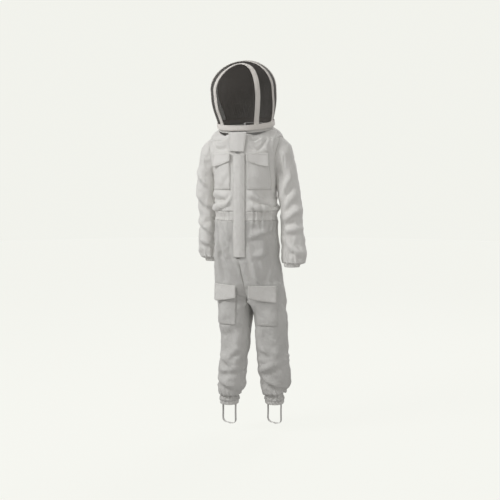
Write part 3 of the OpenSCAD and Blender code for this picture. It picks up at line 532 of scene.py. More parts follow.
# part, side, front or back, start x and z, end x and z, width, height
FOLDS = [
    ("top", 0, FRONT, -138, 1182, -40, 1146, 15, 7), ("top", 0, FRONT, -112, 1102, -30, 1136, 13, 7),
    ("top", 0, FRONT, -48, 1280, -112, 1186, 14, 6), ("top", 0, FRONT, -120, 1220, -40, 1196, 12, 5),
    ("top", 0, FRONT, 52, 1112, 128, 1092, 13, 6), ("top", 0, FRONT, 40, 1160, 140, 1128, 13, 5),
    ("top", 0, FRONT, 130, 1250, 152, 1130, 14, 7), ("top", 0, FRONT, -150, 1240, -128, 1120, 14, 6),
    ("top", 0, FRONT, 110, 1390, 165, 1330, 16, 5), ("top", 0, FRONT, -110, 1395, -168, 1338, 16, 5),
    ("top", 0, BACK, -120, 1240, -20, 1130, 18, 7), ("top", 0, BACK, 120, 1230, 25, 1120, 18, 7),
    ("top", 0, BACK, -90, 1110, 10, 1100, 14, 6), ("top", 0, BACK, 20, 1126, 110, 1104, 14, 6),
    ("top", 0, BACK, -130, 1330, -60, 1230, 20, 5), ("top", 0, BACK, 130, 1320, 50, 1210, 20, 5),
    ("leg", RIGHT, FRONT, -112, 1022, -20, 772, 15, 9), ("leg", RIGHT, FRONT, -74, 1020, -14, 900, 12, 6),
    ("leg", RIGHT, FRONT, -150, 960, -96, 800, 16, 6), ("leg", LEFT, FRONT, 156, 1000, 46, 962, 12, 7),
    ("leg", LEFT, FRONT, 150, 900, 60, 876, 13, 5), ("leg", LEFT, FRONT, 52, 880, 106, 706, 15, 6),
    ("leg", LEFT, FRONT, 20, 860, 34, 720, 13, 5), ("leg", RIGHT, FRONT, -122, 524, -10, 560, 14, 5),
    ("leg", RIGHT, FRONT, -124, 412, -48, 366, 14, 8), ("leg", RIGHT, FRONT, -122, 338, -4, 352, 13, 6),
    ("leg", RIGHT, FRONT, -20, 450, -90, 400, 14, 5), ("leg", RIGHT, FRONT, -110, 286, -40, 262, 13, 6),
    ("leg", LEFT, FRONT, 84, 322, 206, 388, 14, 8), ("leg", LEFT, FRONT, 92, 452, 150, 414, 14, 5),
    ("leg", LEFT, FRONT, 100, 300, 190, 262, 14, 6), ("leg", LEFT, FRONT, 200, 470, 160, 380, 14, 5),
    ("leg", LEFT, BACK, 80, 700, 200, 660, 18, 7), ("leg", RIGHT, BACK, -10, 700, -140, 655, 18, 7),
    ("leg", LEFT, BACK, 90, 430, 200, 400, 15, 8), ("leg", RIGHT, BACK, -10, 425, -120, 396, 15, 8),
    ("leg", LEFT, BACK, 200, 960, 60, 800, 20, 7), ("leg", RIGHT, BACK, -150, 960, -30, 800, 20, 7),
    ("leg", LEFT, BACK, 100, 300, 200, 270, 14, 6), ("leg", RIGHT, BACK, -20, 300, -120, 262, 14, 6),
    ("arm", LEFT, FRONT, 188, 1152, 246, 1262, 13, 7), ("arm", LEFT, FRONT, 196, 1050, 284, 1110, 12, 9),
    ("arm", LEFT, FRONT, 200, 1010, 290, 1022, 12, 7), ("arm", LEFT, FRONT, 210, 960, 296, 900, 14, 6),
    ("arm", LEFT, FRONT, 192, 1100, 268, 1180, 12, 5), ("arm", RIGHT, FRONT, -258, 1050, -166, 990, 12, 8),
    ("arm", RIGHT, FRONT, -262, 1180, -168, 1096, 13, 7), ("arm", RIGHT, FRONT, -250, 960, -170, 930, 12, 7),
    ("arm", RIGHT, FRONT, -256, 1276, -180, 1200, 13, 6), ("arm", LEFT, BACK, 190, 1090, 280, 1040, 14, 8),
    ("arm", RIGHT, BACK, -256, 1040, -160, 1080, 14, 8), ("arm", LEFT, BACK, 190, 960, 290, 930, 14, 7),
    ("arm", RIGHT, BACK, -256, 930, -160, 960, 14, 7),
]


def vertex_parts():
    parts = [set() for _ in range(count)]
    for polygon in mesh.polygons:
        for v in polygon.vertices:
            parts[v].add(polygon.material_index)
    return parts


def read_points(thing):
    flat = np.zeros(len(thing.vertices) * 3, np.float32)
    thing.vertices.foreach_get("co", flat)
    return flat.reshape(-1, 3).astype(float)


def read_normals(thing):
    """Point normals, added up in a fixed order so that every run gives the same ones."""
    where = read_points(thing)
    here = np.zeros(len(thing.loops), np.int32)
    start = np.zeros(len(thing.polygons), np.int32)
    total = np.zeros(len(thing.polygons), np.int32)
    thing.loops.foreach_get("vertex_index", here)
    thing.polygons.foreach_get("loop_start", start)
    thing.polygons.foreach_get("loop_total", total)
    first, size = np.repeat(start, total), np.repeat(total, total)
    place = np.arange(len(here)) - first
    after = here[first + (place + 1) % size]
    before = here[first + (place - 1) % size]
    corner = np.cross(where[after] - where[here], where[before] - where[here])
    out = np.zeros_like(where)
    np.add.at(out, here, corner)
    return out / np.maximum(np.linalg.norm(out, axis=1, keepdims=True), 1e-12)


parts = vertex_parts()
height = loft[:, 2] * 1000 + NECK_H
normals = read_normals(mesh)
on_arm = np.array([bool(p & {3, 4}) and not p & {0, 1, 2} for p in parts])
on_leg = np.array([bool(p & {5, 6, 7, 8}) for p in parts])
on_waist = np.array([len(PANEL_NAMES) in p for p in parts])
wrist_end = {LEFT: 847, RIGHT: 855}


def fold_lift():
    lift = np.zeros(count)
    side_of = np.sign(loft[:, 0])
    for part, side, face, x0, z0, x1, z1, width, tall in FOLDS:
        start, run = np.array([x0, z0]), np.array([x1 - x0, z1 - z0])
        place = np.stack([loft[:, 0] * 1000, height], 1) - start
        t = np.clip(place @ run / (run @ run), 0, 1)
        away = place - t[:, None] * run
        across = np.array([-run[1], run[0]]) / np.linalg.norm(run)
        signed = away @ across * (1 if across[1] > 0 else -1)
        off = np.linalg.norm(away, axis=1)
        ridge = np.exp(-(off / width) ** 2) - 0.6 * np.exp(-((signed + 1.7 * width) / width) ** 2) * (off < 4 * width)
        taper = np.sin(np.pi * np.clip(t * 0.9 + 0.05, 0, 1)) ** 0.7
        facing = np.clip(normals[:, 1] * face * 1.6 + 0.25, 0, 1)
        here = {"top": ~on_arm & ~on_leg, "leg": on_leg, "arm": on_arm}[part]
        if side and part == "arm":
            here = here & (side_of == side)
        if side and part == "leg":
            here = here & (np.array([bool(p & set(TROUSERS[side])) for p in parts]))
        lift += tall / 1000 * ridge * taper * facing * here
    return lift


def fade(z, level, reach):
    return np.clip(np.abs(z - level) / reach, 0, 1)


ends = np.where(on_arm, fade(height, np.where(loft[:, 0] > 0, wrist_end[LEFT], wrist_end[RIGHT]), 30), 1.0)
ends = ends * np.where(on_arm, 1, fade(height, NECK_H, 40) * fade(height, 1055, 45))
ends = ends * np.where(on_leg, fade(height, 166, 30), 1.0)
placket = (np.abs(loft[:, 0]) < 0.040) & (loft[:, 1] < -0.1) & (height > 850) & ~on_arm
ends = ends * np.where(placket, 0.25, 1.0)
ends[on_waist] = 0
folded = loft + normals * (fold_lift() * ends)[:, None]
mesh.vertices.foreach_set("co", folded.astype(np.float32).ravel())
mesh.update()
print("long folds", len(FOLDS), "highest mm", round(float(fold_lift().max() * 1000), 1))

# %% [markdown]
# The wearer is only a stand-in: the loft drawn inwards by a centimetre or two. It is removed
# once the cloth has settled on it. The cloth is pinned where elastic, zip and collar hold
# it, and it is given a little more length than the loft, which is what makes it crease.

# %% Dress the body
def inner_body():
    inset = np.where(on_arm, 13.0, np.where(on_leg, 17.0, 15.0)) * np.minimum(ends + 0.35, 1.0)
    body = bpy.data.objects.new("body_under", coverall.data.copy())
    bpy.context.collection.objects.link(body)
    inside = loft - normals * (inset / 1000)[:, None]
    body.data.vertices.foreach_set("co", inside.astype(np.float32).ravel())
    body.data.update()
    body.modifiers.new("Collision", "COLLISION")
    body.collision.thickness_outer = 0.002
    body.collision.cloth_friction = 12
    return body


def pin_cloth():
    pins = coverall.vertex_groups.new(name="pins")
    held = (ends < 0.02) | (height > NECK_H - 12) & ~on_arm & (np.hypot(loft[:, 0], loft[:, 1]) < 0.17)
    held |= (np.abs(np.abs(loft[:, 0]) - PLACKET / 1000) < 0.0012) & placket
    held |= on_waist
    held |= on_leg & (height < 168)
    pins.add([int(v) for v in np.nonzero(held)[0]], 1.0, "REPLACE")
    return held


def dress(frames=26):
    body = inner_body()
    held = pin_cloth()
    cloth = coverall.modifiers.new("Cloth", "CLOTH")
    rules = cloth.settings
    rules.quality = 5
    rules.mass = 0.22
    rules.tension_stiffness = 22
    rules.compression_stiffness = 16
    rules.shear_stiffness = 8
    rules.bending_stiffness = 1.4
    rules.vertex_group_mass = "pins"
    rules.shrink_min = -0.035
    rules.use_pressure = True
    rules.uniform_pressure_force = 0.25
    cloth.collision_settings.distance_min = 0.002
    cloth.collision_settings.collision_quality = 2
    scene = bpy.context.scene
    scene.frame_start, scene.frame_end = 1, frames
    cloth.point_cache.frame_start, cloth.point_cache.frame_end = 1, frames
    for frame_number in range(1, frames + 1):
        scene.frame_set(frame_number)
    graph = bpy.context.evaluated_depsgraph_get()
    settled = read_points(coverall.evaluated_get(graph).data)
    coverall.modifiers.remove(cloth)
    bpy.data.objects.remove(body)
    scene.frame_set(1)
    print("pinned", int(held.sum()), "moved up to mm", round(float(np.abs(settled - folded).max() * 1000), 1))
    return settled


import time
clock = time.time()
draped = dress()
print("dressing took s", round(time.time() - clock, 1))

# %% [markdown]
# Under pockets, flaps, fly and collar the cloth is doubled or held, so it lies flatter there.
# Next to the elastic it is pulled into small pleats that fade within a hand's width. The
# mesh is then divided once, so that the pleats and seams have points to bend.

# %% Flatten under pockets, then gather at the elastic
def zone(x, z, x0, x1, z0, z1, soft=18):
    inside_x = np.clip((np.minimum(x - x0, x1 - x) + soft) / soft, 0, 1)
    inside_z = np.clip((np.minimum(z - z0, z1 - z) + soft) / soft, 0, 1)
    return inside_x * inside_z


def calm(points):
    x, z = points[:, 0] * 1000, points[:, 2] * 1000 + NECK_H
    front = np.clip(-points[:, 1] * 1000 / 40, 0, 1)
    keep = np.ones(len(points))
    keep *= 1 - 0.98 * zone(x, z, -32, 36, 845, 1400, 22) * front * ~on_arm
    keep *= 1 - 0.80 * zone(np.abs(x), z, 36, 142, 1185, 1350) * front * ~on_arm
    keep *= 1 - 0.92 * zone(np.abs(x), z, 30, 146, 1300, 1350) * front * ~on_arm
    keep *= 1 - 0.80 * zone(x, z, -55, 55, 1345, 1462) * front * ~on_arm
    keep *= 1 - 0.70 * zone(np.abs(x - 18), z, 18, 165, 640, 745) * front * on_leg
    keep *= 1 - 0.45 * zone(np.abs(x - 30), z, 24, 175, 535, 640) * front * on_leg
    return keep


MOST_MOVE = 0.024
move = draped - loft
reach = np.linalg.norm(move, axis=1)
move *= np.minimum(1, MOST_MOVE / np.maximum(reach, 1e-6))[:, None]
CREASE_TALL = 0.0042


def crumple(where):
    """Sharp ridges that run round a limb and slantwise over the trunk."""
    lift = np.zeros(len(where))
    for k, (x, y, z) in enumerate(where):
        slant = 0 if on_arm[k] or height[k] < 560 else 1.1 * math.copysign(1, x)
        spot = Vector((x * 8, y * 8, z * 19 + slant * x * 17))
        bend = [noise.noise(spot * 0.6 + Vector((apart, 0, 0))) for apart in (0, 31.7, 63.1)]
        bent = spot + Vector(bend) * 0.9
        ridge = 1 - abs(noise.noise(bent)) * 3.2
        lift[k] = max(ridge, -0.5) + 0.35 * noise.noise(bent * 2.7)
    return lift


def band(level, reach):
    return np.exp(-((height - level) / reach) ** 2)


busy = np.where(on_arm, 0.55 + 0.8 * band(1060, 60) + 0.6 * band(900, 50), 0.0)
busy += np.where(on_leg, 0.30 + 0.8 * band(400, 60) + 0.7 * band(240, 60) + 0.5 * band(680, 60), 0.0)
busy += np.where(~on_arm & ~on_leg, 0.35 + 0.8 * band(1120, 55), 0.0)
normals = read_normals(mesh)
crease = fold_lift() * 1.5 + crumple(loft) * busy * CREASE_TALL
settled = loft + move * calm(loft)[:, None] + normals * (crease * ends * calm(loft) ** 0.7)[:, None]
mesh.vertices.foreach_set("co", settled.astype(np.float32).ravel())
mesh.update()


def divide(thing):
    level = thing.modifiers.new("divide", "SUBSURF")
    level.levels = level.render_levels = 1
    graph = bpy.context.evaluated_depsgraph_get()
    finer = bpy.data.meshes.new_from_object(thing.evaluated_get(graph))
    thing.modifiers.clear()
    thing.data = finer
    return finer


first_count = count
mesh = divide(coverall)
count = len(mesh.vertices)
points = read_points(mesh)
normals = read_normals(mesh)
parts = vertex_parts()
height = points[:, 2] * 1000 + NECK_H
on_arm = np.array([bool(p & {3, 4}) and not p & {0, 1, 2} for p in parts])
on_leg = np.array([bool(p & {5, 6, 7, 8}) for p in parts])
on_waist = np.array([len(PANEL_NAMES) in p for p in parts])


def pleats(middle_x, middle_y, level, where, number, tall, fade_mm, seed):
    angle = np.arctan2(points[:, 1] - middle_y / 1000, points[:, 0] - middle_x / 1000)
    above = np.abs(height - level)
    wave = np.sin(number * angle + seed) + 0.55 * np.sin(number * 1.6 * angle + 2.1 * seed + above / 17)
    wave += 0.4 * np.sin(number * 0.6 * angle + 3.7 * seed)
    strength = np.exp(-above / fade_mm) * (1 - 0.55 * np.exp(-above / 5))
    return wave * strength * where * tall / 1000


gather = np.zeros(count)
for side, low, seed in ((LEFT, wrist_end[LEFT], 1.0), (RIGHT, wrist_end[RIGHT], 2.4)):
    wrist, ankle = ARMS[side][11], LEGS[side][8]
    own_arm = on_arm & (np.sign(points[:, 0]) == side) & (height < low + 150)
    gather += pleats(wrist[0], wrist[1], low, own_arm, 13, 3.4, 34, seed)
    own_leg = np.array([bool(p & set(TROUSERS[side])) for p in parts]) & (height < 330)
    gather += pleats(ankle[1], ankle[2], 166, own_leg, 15, 4.0, 42, seed + 0.7)
waist_zone = ~on_arm & (height < 1180) & (height > 930)
gather += pleats(0, 0, 1055, waist_zone, 34, 4.6, 40, 0.4)
blouse = 0.010 * np.exp(-((height - 1094) / 20) ** 2) + 0.004 * np.exp(-((height - 1022) / 16) ** 2)
gather += blouse * ~on_arm
gather *= np.clip((np.abs(points[:, 0]) - 0.036) / 0.02, 0, 1) * (waist_zone & (points[:, 1] < 0)) + ~(waist_zone & (points[:, 1] < 0))
neck_zone = ~on_arm & (height > 1380)
ruffle = np.array([noise.noise(Vector(p) * 21) + 0.5 * noise.noise(Vector(p) * 47) for p in points]) * 0.0016
points = points + normals * (gather + ruffle * ~neck_zone)[:, None]
for where, low in ((on_arm & (points[:, 0] > 0), wrist_end[LEFT]), (on_arm & (points[:, 0] < 0), wrist_end[RIGHT]), (on_leg, 166)):
    overlap = where * np.exp(-np.abs(height - low) / 7)
    points = points + normals * (0.0026 * overlap)[:, None]
    points[:, 2] -= 0.0065 * overlap
print("divided to", count, "pleats up to mm", round(float(np.abs(gather).max() * 1000), 1))

# %% [markdown]
# The panels are cut apart on the seams. A flat-felled seam turns one edge under and sews it
# down, so one side of the seam stands up by a ply. The strip is lifted, the seam itself is
# drawn in, and each panel gets its own thickness.

# %% Cut the panels apart
from mathutils.kdtree import KDTree

SEAM_PLY = 0.0009
SEAM_WIDTH = 0.011
seam_points = np.nonzero([len(p) > 1 for p in parts])[0]
tree = KDTree(len(seam_points))
for k, v in enumerate(seam_points):
    tree.insert(points[v], k)
tree.balance()
raised = {0, 1, 5, 6}
lift = np.zeros(count)
for v in range(count):
    if len(parts[v]) > 1:
        lift[v] = -SEAM_PLY
    elif parts[v] & raised:
        away = tree.find(points[v])[2]
        lift[v] = SEAM_PLY if away < SEAM_WIDTH else 0.0
points = points + normals * lift[:, None]
mesh.vertices.foreach_set("co", points.astype(np.float32).ravel())
mesh.update()
owner = np.zeros(len(mesh.polygons), int)
mesh.polygons.foreach_get("material_index", owner)
corner_list = [tuple(p.vertices) for p in mesh.polygons]
cloth_tree = BVHTree.FromPolygons([tuple(p) for p in points], corner_list)
# The four leg panels take the darker copy of the cotton, whose darker tone is painted shade.
PANEL_FINISH = [top_cotton] * 5 + [shaded_leg_cotton] * 4 + [top_cotton]


def line_length(line):
    line = np.array(line)
    return float(np.linalg.norm(np.diff(line, axis=0), axis=1).sum()) / 1000


def cut_size(rows):
    wide = max(line_length(r) for r in rows)
    long = max(line_length([r[j] for r in rows]) for j in range(len(rows[0])))
    return wide, long


def pattern_area(rows):
    """The flat area, in square metres, of a pattern given as rows of points in millimetres."""
    g = np.array(rows, float)
    first = np.cross(g[1:, :-1] - g[:-1, :-1], g[:-1, 1:] - g[:-1, :-1])
    second = np.cross(g[1:, :-1] - g[1:, 1:], g[:-1, 1:] - g[1:, 1:])
    return float(np.linalg.norm(first, axis=2).sum() + np.linalg.norm(second, axis=2).sum()) / 2e6


def declare(piece, body, slot_name, flat, ply=0.0014, replaced=(), area=None):
    if ply:
        thick = piece.modifiers.new("ply", "SOLIDIFY")
        thick.thickness = ply
        thick.offset = -1
    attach(piece, body)
    if replaced:
        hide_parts(*replaced)
    max(flat)
    min(flat)
    return piece


SPARE = 1.035


def cut_panel(name):
    """A panel is cut to its smooth pattern and the spare length that it is dressed with."""
    rows = [r for r in PANELS[name] if "leg" in name or "sleeve" in name or np.mean([p[2] for p in r]) > 1076]
    wide, long = cut_size(rows)
    area = pattern_area(rows) * SPARE ** 2
    return (wide * SPARE, long * SPARE), area


for number, name in enumerate([*PANEL_NAMES, WAIST]):
    chosen = [corner_list[k] for k in np.nonzero(owner == number)[0]]
    used = sorted({v for face in chosen for v in face})
    renumber = {v: k for k, v in enumerate(used)}
    panel = make_mesh(name + "_cloth", points[used], [[renumber[v] for v in f] for f in chosen], PANEL_FINISH[number])
    flat, area = ((0.95, 0.044), None) if name == WAIST else cut_panel(name)
    slot_name = "cotton_trim" if name == WAIST else "cotton_leg" if "leg" in name else "cotton"
    declare(panel, "suit", slot_name, flat, replaced=(name,), area=area)
bpy.data.objects.remove(coverall)
print("panels", len(PANEL_NAMES) + 1, "seam points", len(seam_points))

# %% [markdown]
# ## Stitching
# Every seam and hem is held by two rows of lockstitch, and on white cloth it is the shadow of
# each stitch that shows. A stitch is a short bead of thread, lying along its row just proud
# of the cloth. One helper lays a row on any surface, and all rows of a body become one piece.

# %% A helper that lays rows of stitches
STITCH = 0.0030
STITCH_HALF = 0.00042
stitch_rows = {}


def resample(line, step):
    line = np.array(line, float)
    gaps = np.linalg.norm(np.diff(line, axis=0), axis=1)
    run = np.concatenate([[0], np.cumsum(gaps)])
    marks = np.arange(step / 2, run[-1], step)
    return np.stack([np.interp(marks, run, line[:, k]) for k in range(3)], 1)


def stitch_bead(points_out, faces_out, middle, along, out):
    side = along.cross(out).normalized() * STITCH_HALF
    rise = out * STITCH_HALF
    half = along * (STITCH * 0.36)
    start = len(points_out)
    for end in (-1, 1):
        for a, b in ((-1, -1), (1, -1), (1, 1), (-1, 1)):
            squeeze = 0.75 if b > 0 else 1.0
            points_out.append(middle + half * end * (1.0 if b < 0 else 0.82) + side * a * squeeze + rise * b)
    for quad in ((0, 1, 2, 3), (7, 6, 5, 4), (0, 4, 5, 1), (1, 5, 6, 2), (2, 6, 7, 3), (3, 7, 4, 0)):
        faces_out.append([start + k for k in quad])


def sew(body, line, surface, offset=0.0, closed=False):
    """Lays one row on a surface, at a sideways distance from the line."""
    beads, faces = stitch_rows.setdefault(body, ([], []))
    marks = resample(line, STITCH)
    for k in range(len(marks) - 1):
        here, after = Vector(marks[k]), Vector(marks[k + 1])
        along = (after - here).normalized()
        spot, out, _, _ = surface.find_nearest(here)
        if spot is None:
            continue
        if offset:
            spot, out, _, _ = surface.find_nearest(spot + along.cross(out).normalized() * offset)
        stitch_bead(beads, faces, spot + out * 0.0003, along, out)


def at_loft(rows_of_points):
    """Where some points of the smooth loft are on the settled cloth."""
    return [points[nearest_first.find(to_frame(p))[1]] for p in rows_of_points]


nearest_first = KDTree(first_count)
for k, p in enumerate(loft):
    nearest_first.insert(p, k)
nearest_first.balance()
SEAMS = []
for side, name in ((LEFT, "left"), (RIGHT, "right")):
    front, leg = PANELS[name + "_front"], PANELS[name + "_leg_front"]
    outer = -1 if side == LEFT else 0
    under_arm = [r[outer] for r in front[len(shoulder_rows) + len(armhole_rows) - 1:]]
    top_line = [r[outer] for r in front[:len(shoulder_rows) + 1]]
    SEAMS += [under_arm, top_line, [r[outer] for r in leg]]
    inner = 0 if side == LEFT else -1
    SEAMS += [[r[inner] for r in leg if r[0][2] < CROTCH_H + 2]]
    ring = PANELS[name + "_sleeve"][0]
    SEAMS += [[*ring, ring[0]]]
    SEAMS += [front[-5], leg[0]]
SEAMS += [[r[-1] for r in PANELS["left_leg_back"] if r[0][2] > CROTCH_H]]
SEAMS += [[r[0] for r in PANELS["left_leg_front"] if CROTCH_H < r[0][2] < ZIP_LOW - 15]]
SEAMS += [PANELS["back_bodice"][-5], PANELS["left_leg_back"][0], PANELS["right_leg_back"][0]]
for seam in SEAMS:
    line = at_loft(seam)
    sew("suit", line, cloth_tree, 0.0022)
    sew("suit", line, cloth_tree, 0.0088)
print("seams", len(SEAMS), "stitches so far", len(stitch_rows["suit"][1]) // 6)

# %% [markdown]
# ## Pockets, flaps and fly
# A patch pocket is a flat piece with its edges turned under, sewn on three sides, so it
# follows the cloth below it but bridges its creases. Each one is a grid dropped on to the
# settled cloth along the loft's normals, with the drop smoothed before it is used.

# %% Patch pockets
def grid_mesh(name, grid, finish):
    rows, cols = len(grid), len(grid[0])
    faces = [(a, a + cols, a + cols + 1, a + 1)
             for i in range(rows - 1) for j in range(cols - 1) for a in [i * cols + j]]
    return make_mesh(name, [p for row in grid for p in row], faces, finish)


def grid_normals(grid):
    g = np.array(grid)
    down = np.gradient(g, axis=0)
    across = np.gradient(g, axis=1)
    out = np.cross(down, across)
    return out / np.linalg.norm(out, axis=2, keepdims=True)


def blurred(values, times):
    for _ in range(times):
        padded = np.pad(values, 1, mode="edge")
        values = (padded[:-2, 1:-1] + padded[2:, 1:-1] + padded[1:-1, :-2] + padded[1:-1, 2:] + 2 * values) / 6
    return values


def drop_on_cloth(grid, stand_off, times=5, bag=0.0):
    g, out = np.array(grid), grid_normals(grid)
    drop = np.zeros(g.shape[:2])
    for i in range(g.shape[0]):
        for j in range(g.shape[1]):
            start = Vector(g[i, j] + out[i, j] * 0.05)
            hit = cloth_tree.ray_cast(start, Vector(-out[i, j]), 0.12)[0]
            drop[i, j] = 0.05 - (hit - start).length if hit else 0.0
    level = np.maximum(blurred(drop, times), drop + 0.0006) + stand_off
    down = np.linspace(0, 1, g.shape[0])[:, None]
    over = np.linspace(-1, 1, g.shape[1])[None, :]
    level += bag * np.clip(1 - over ** 2, 0, 1) ** 0.5 * np.sin(np.pi * np.clip(down, 0, 1) ** 1.4)
    return g + out * level[..., None]


def inset_line(grid, margin, sides="lbr"):
    g = np.array(grid)
    rows, cols = g.shape[:2]
    high = np.linalg.norm(g[1] - g[0], axis=1).mean()
    wide = np.linalg.norm(g[:, 1] - g[:, 0], axis=1).mean()
    i, j = margin / high, margin / wide

    def at(a, b):
        a, b = min(max(a, 0), rows - 1.001), min(max(b, 0), cols - 1.001)
        m, n = int(a), int(b)
        s, t = a - m, b - n
        return (g[m, n] * (1 - s) * (1 - t) + g[m + 1, n] * s * (1 - t) + g[m, n + 1] * (1 - s) * t
                + g[m + 1, n + 1] * s * t)

    left = [at(a, j) for a in np.linspace(0, rows - 1 - i, 24)]
    bottom = [at(rows - 1 - i, b) for b in np.linspace(j, cols - 1 - j, 24)]
    right = [at(a, cols - 1 - j) for a in np.linspace(rows - 1 - i, 0, 24)]
    top = [at(i, b) for b in np.linspace(cols - 1 - j, j, 24)]
    return {"l": left, "b": bottom, "r": right, "t": top}, sides


def tree_of(piece):
    vertices = [v.co.copy() for v in piece.data.vertices]
    return BVHTree.FromPolygons(vertices, [tuple(p.vertices) for p in piece.data.polygons])


def hem(piece, grid, body, margins=(0.003, 0.0095), sides="lbr"):
    surface = tree_of(piece)
    for margin in margins:
        lines, wanted = inset_line(grid, margin, sides)
        for key in wanted:
            sew(body, lines[key], surface)


def chest_loft(side):
    rows = []
    for z in np.linspace(1342, 1180, 28):
        s = section_at(TORSO, row_of(TORSO, z))
        angles = [math.degrees(math.acos(x / s[3])) for x in np.linspace(40, 136, 22)]
        angles = [-a for a in angles] if side == LEFT else [a - 180 for a in angles[::-1]]
        rows.append([to_frame(torso_point(s, a)) for a in angles])
    return rows


def turn_at(side, z, x):
    s, table = section_at(TORSO, row_of(TORSO, z)), LEGS[side]
    l = section_at(table, row_of(table, min(z, table[0][0])))
    w = smooth((CROTCH_H - z) / (CROTCH_H - table[0][0]))
    k = (x - mix(s[2], l[1], w)) * side
    wide = mix(s[3], l[3], w) if k >= 0 or w <= 0 else w * l[3]
    return math.degrees(math.acos(max(min(k / wide, 1), -0.8))) / 90


def thigh_loft(side):
    rows = []
    for z in np.linspace(723, 540, 32):
        low = (723 - z) / 183
        inner, outer = (mix(62, 82, low), 176) if side == LEFT else (mix(-12, -28, low), -130)
        xs = np.linspace(*sorted((inner, outer)), 26)
        rows.append([to_frame(leg_point(side, FRONT, z, turn_at(side, z, x))) for x in xs])
    return rows


def side_name(side):
    return "left" if side == LEFT else "right"


# The thigh pockets take the darker leg cotton, whose darker tone is painted shade.
for side in (LEFT, RIGHT):
    name = side_name(side)
    for which, grid, stand, bag, finish, slot_name, flat in (
            ("chest", chest_loft(side), 0.0012, 0.0022, top_cotton, "cotton", (0.162, 0.115)),
            ("thigh", thigh_loft(side), 0.0014, 0.0035, shaded_leg_cotton, "cotton_leg", (0.190, 0.150))):
        laid = drop_on_cloth(grid, stand + 0.0012, bag=bag)
        pocket = grid_mesh(f"{name}_{which}_pocket_cloth", laid, finish)
        hem(pocket, laid, "suit")
        declare(pocket, "suit", slot_name, flat, 0.0016, (f"{name}_{which}_pocket",))
print("pockets laid on the cloth; stitches", len(stitch_rows["suit"][1]) // 6)

# %% [markdown]
# A pocket flap is two plies turned inside out and pressed, so it is stiffer than the cloth
# below and stands away from it at its lower edge. It is sewn along its top and lifts there.

# %% Pocket flaps
def flap_grid(side, turn, out, along, top, middle, wide, inner_h, outer_h, bow):
    xs = np.linspace(-wide / 2, wide / 2, 27)
    edge = np.interp(xs, [-wide / 2, 8 - wide / 2, 0, wide / 2 - 8, wide / 2],
                     [inner_h - 5, inner_h, mix(inner_h, outer_h, 0.62), outer_h, outer_h - 6])
    rows = []
    for r in np.linspace(0, 1, 15):
        row = []
        for x, deep in zip(xs, edge):
            over = 2 * x / wide
            loose = min(1, (x + wide / 2) / 34)
            curl = bow * (r ** 2) * (0.2 + 0.8 * max(over, 0) ** 2) + 2.4 * r * loose * noise.noise(Vector((x / 30 + 9 * side, r * 2, top / 90)))
            lx, ly, lz = x, -out - curl, -deep * r
            px = (along + lx) * side
            a = math.radians(side * turn)
            row.append(to_frame((middle + px * math.cos(a) - ly * math.sin(a),
                                 px * math.sin(a) + ly * math.cos(a), top + lz)))
        rows.append(row if side == LEFT else row[::-1])
    return rows


FLAPS = {"chest": (21.7, 141.2, 39, 1346, 0, 104, 38, 62, 2.5), "thigh": (25, 134.5, 39, 733, 18, 134, 60, 82, 4.0)}
for side in (LEFT, RIGHT):
    name = side_name(side)
    for which, size in FLAPS.items():
        grid = flap_grid(side, *size)
        flap = grid_mesh(f"{name}_{which}_flap_cloth", grid, trim_cotton if which == "chest" else top_cotton)
        body = f"{name}_{which}_cover"
        hem(flap, grid, body, (0.003, 0.008), "lbr")
        hem(flap, grid, body, (0.004,), "t")
        wide, inner_h, outer_h = (v / 1000 for v in size[5:8])
        declare(flap, body, "cotton_trim", (wide, outer_h), 0.0022,
                (f"{name}_{which}_flap",), area=wide * (inner_h + outer_h) / 2)
print("flaps", len(FLAPS) * 2)

# %% [markdown]
# The fly is a long double strip over the zip. Its left edge is sewn down and its right edge
# is free, held by short pieces of touch tape. The neck flap covers the place where the neck
# zip's two sliders meet, and hangs from the rim of the veil.

# %% Fly and neck flap
def fly_grid():
    rows = []
    for z in np.linspace(1342, 866, 96):
        row = []
        for x in np.linspace(-25, 33, 17):
            y = np.interp(x, [-25, -20, -14, -8, 8, 14, 24, 33],
                          [-130.8, -132.4, -136.2, -137.6, -137.6, -136.4, -132.6, -129.6])
            free = smooth((8 - x) / 30)
            wave = noise.noise(Vector((x / 40, z / 38, 3.1)))
            drift = 3.4 * free * noise.noise(Vector((z / 70, 0, 7.7)))
            pucker = abs(noise.noise(Vector((x / 30, z / 24 + x / 40, 1.3)))) * 2.4 * min(1, (33 - x) / 25)
            row.append(to_frame((x + drift, y - 1.6 * abs(wave) * free - pucker - 0.2, z)))
        rows.append(row)
    return rows


def neck_flap_grid():
    rows = []
    for k in np.linspace(0, 1, 22):
        z, half = mix(1442, 1354, k), mix(43, 37, k)
        row = []
        for c in np.linspace(-1, 1, 24):
            x = c * half
            curl = 2.2 * k ** 3 * (0.4 + 0.6 * c ** 2) + 2.2 * k * noise.noise(Vector((x / 24, k * 2.2, 5.5)))
            row.append(to_frame((x - 8 * k, -140 + 4 * k + x * x / 300 - curl, z - 1.5 * k * c)))
        rows.append(row)
    return rows


grid = fly_grid()
fly = grid_mesh("zip_fly_cloth", grid, top_cotton)
hem(fly, grid, "fly", (0.004, 0.010), "r")
hem(fly, grid, "fly", (0.0035,), "ltb")
declare(fly, "fly", "cotton_trim", (0.476, 0.066), 0.0016, ("zip_fly",))
grid = neck_flap_grid()
neck_flap = grid_mesh("neck_flap_cloth", grid, trim_cotton)
hem(neck_flap, grid, "neck_cover", (0.003, 0.008), "lbr")
declare(neck_flap, "neck_cover", "cotton_trim", (0.09, 0.088), 0.0022, ("neck_flap",))
print("fly rows", len(fly_grid()), "neck flap rows", len(grid))

# %% [markdown]
# ## Elastic ends
# The wrists and ankles end in a casing: a tube of cloth with elastic inside, which pleats
# it all the way round. Each is a ring whose outline bulges between its two stitched edges,
# with the pleats as a wave round it. The stirrups are bare ribbed elastic.

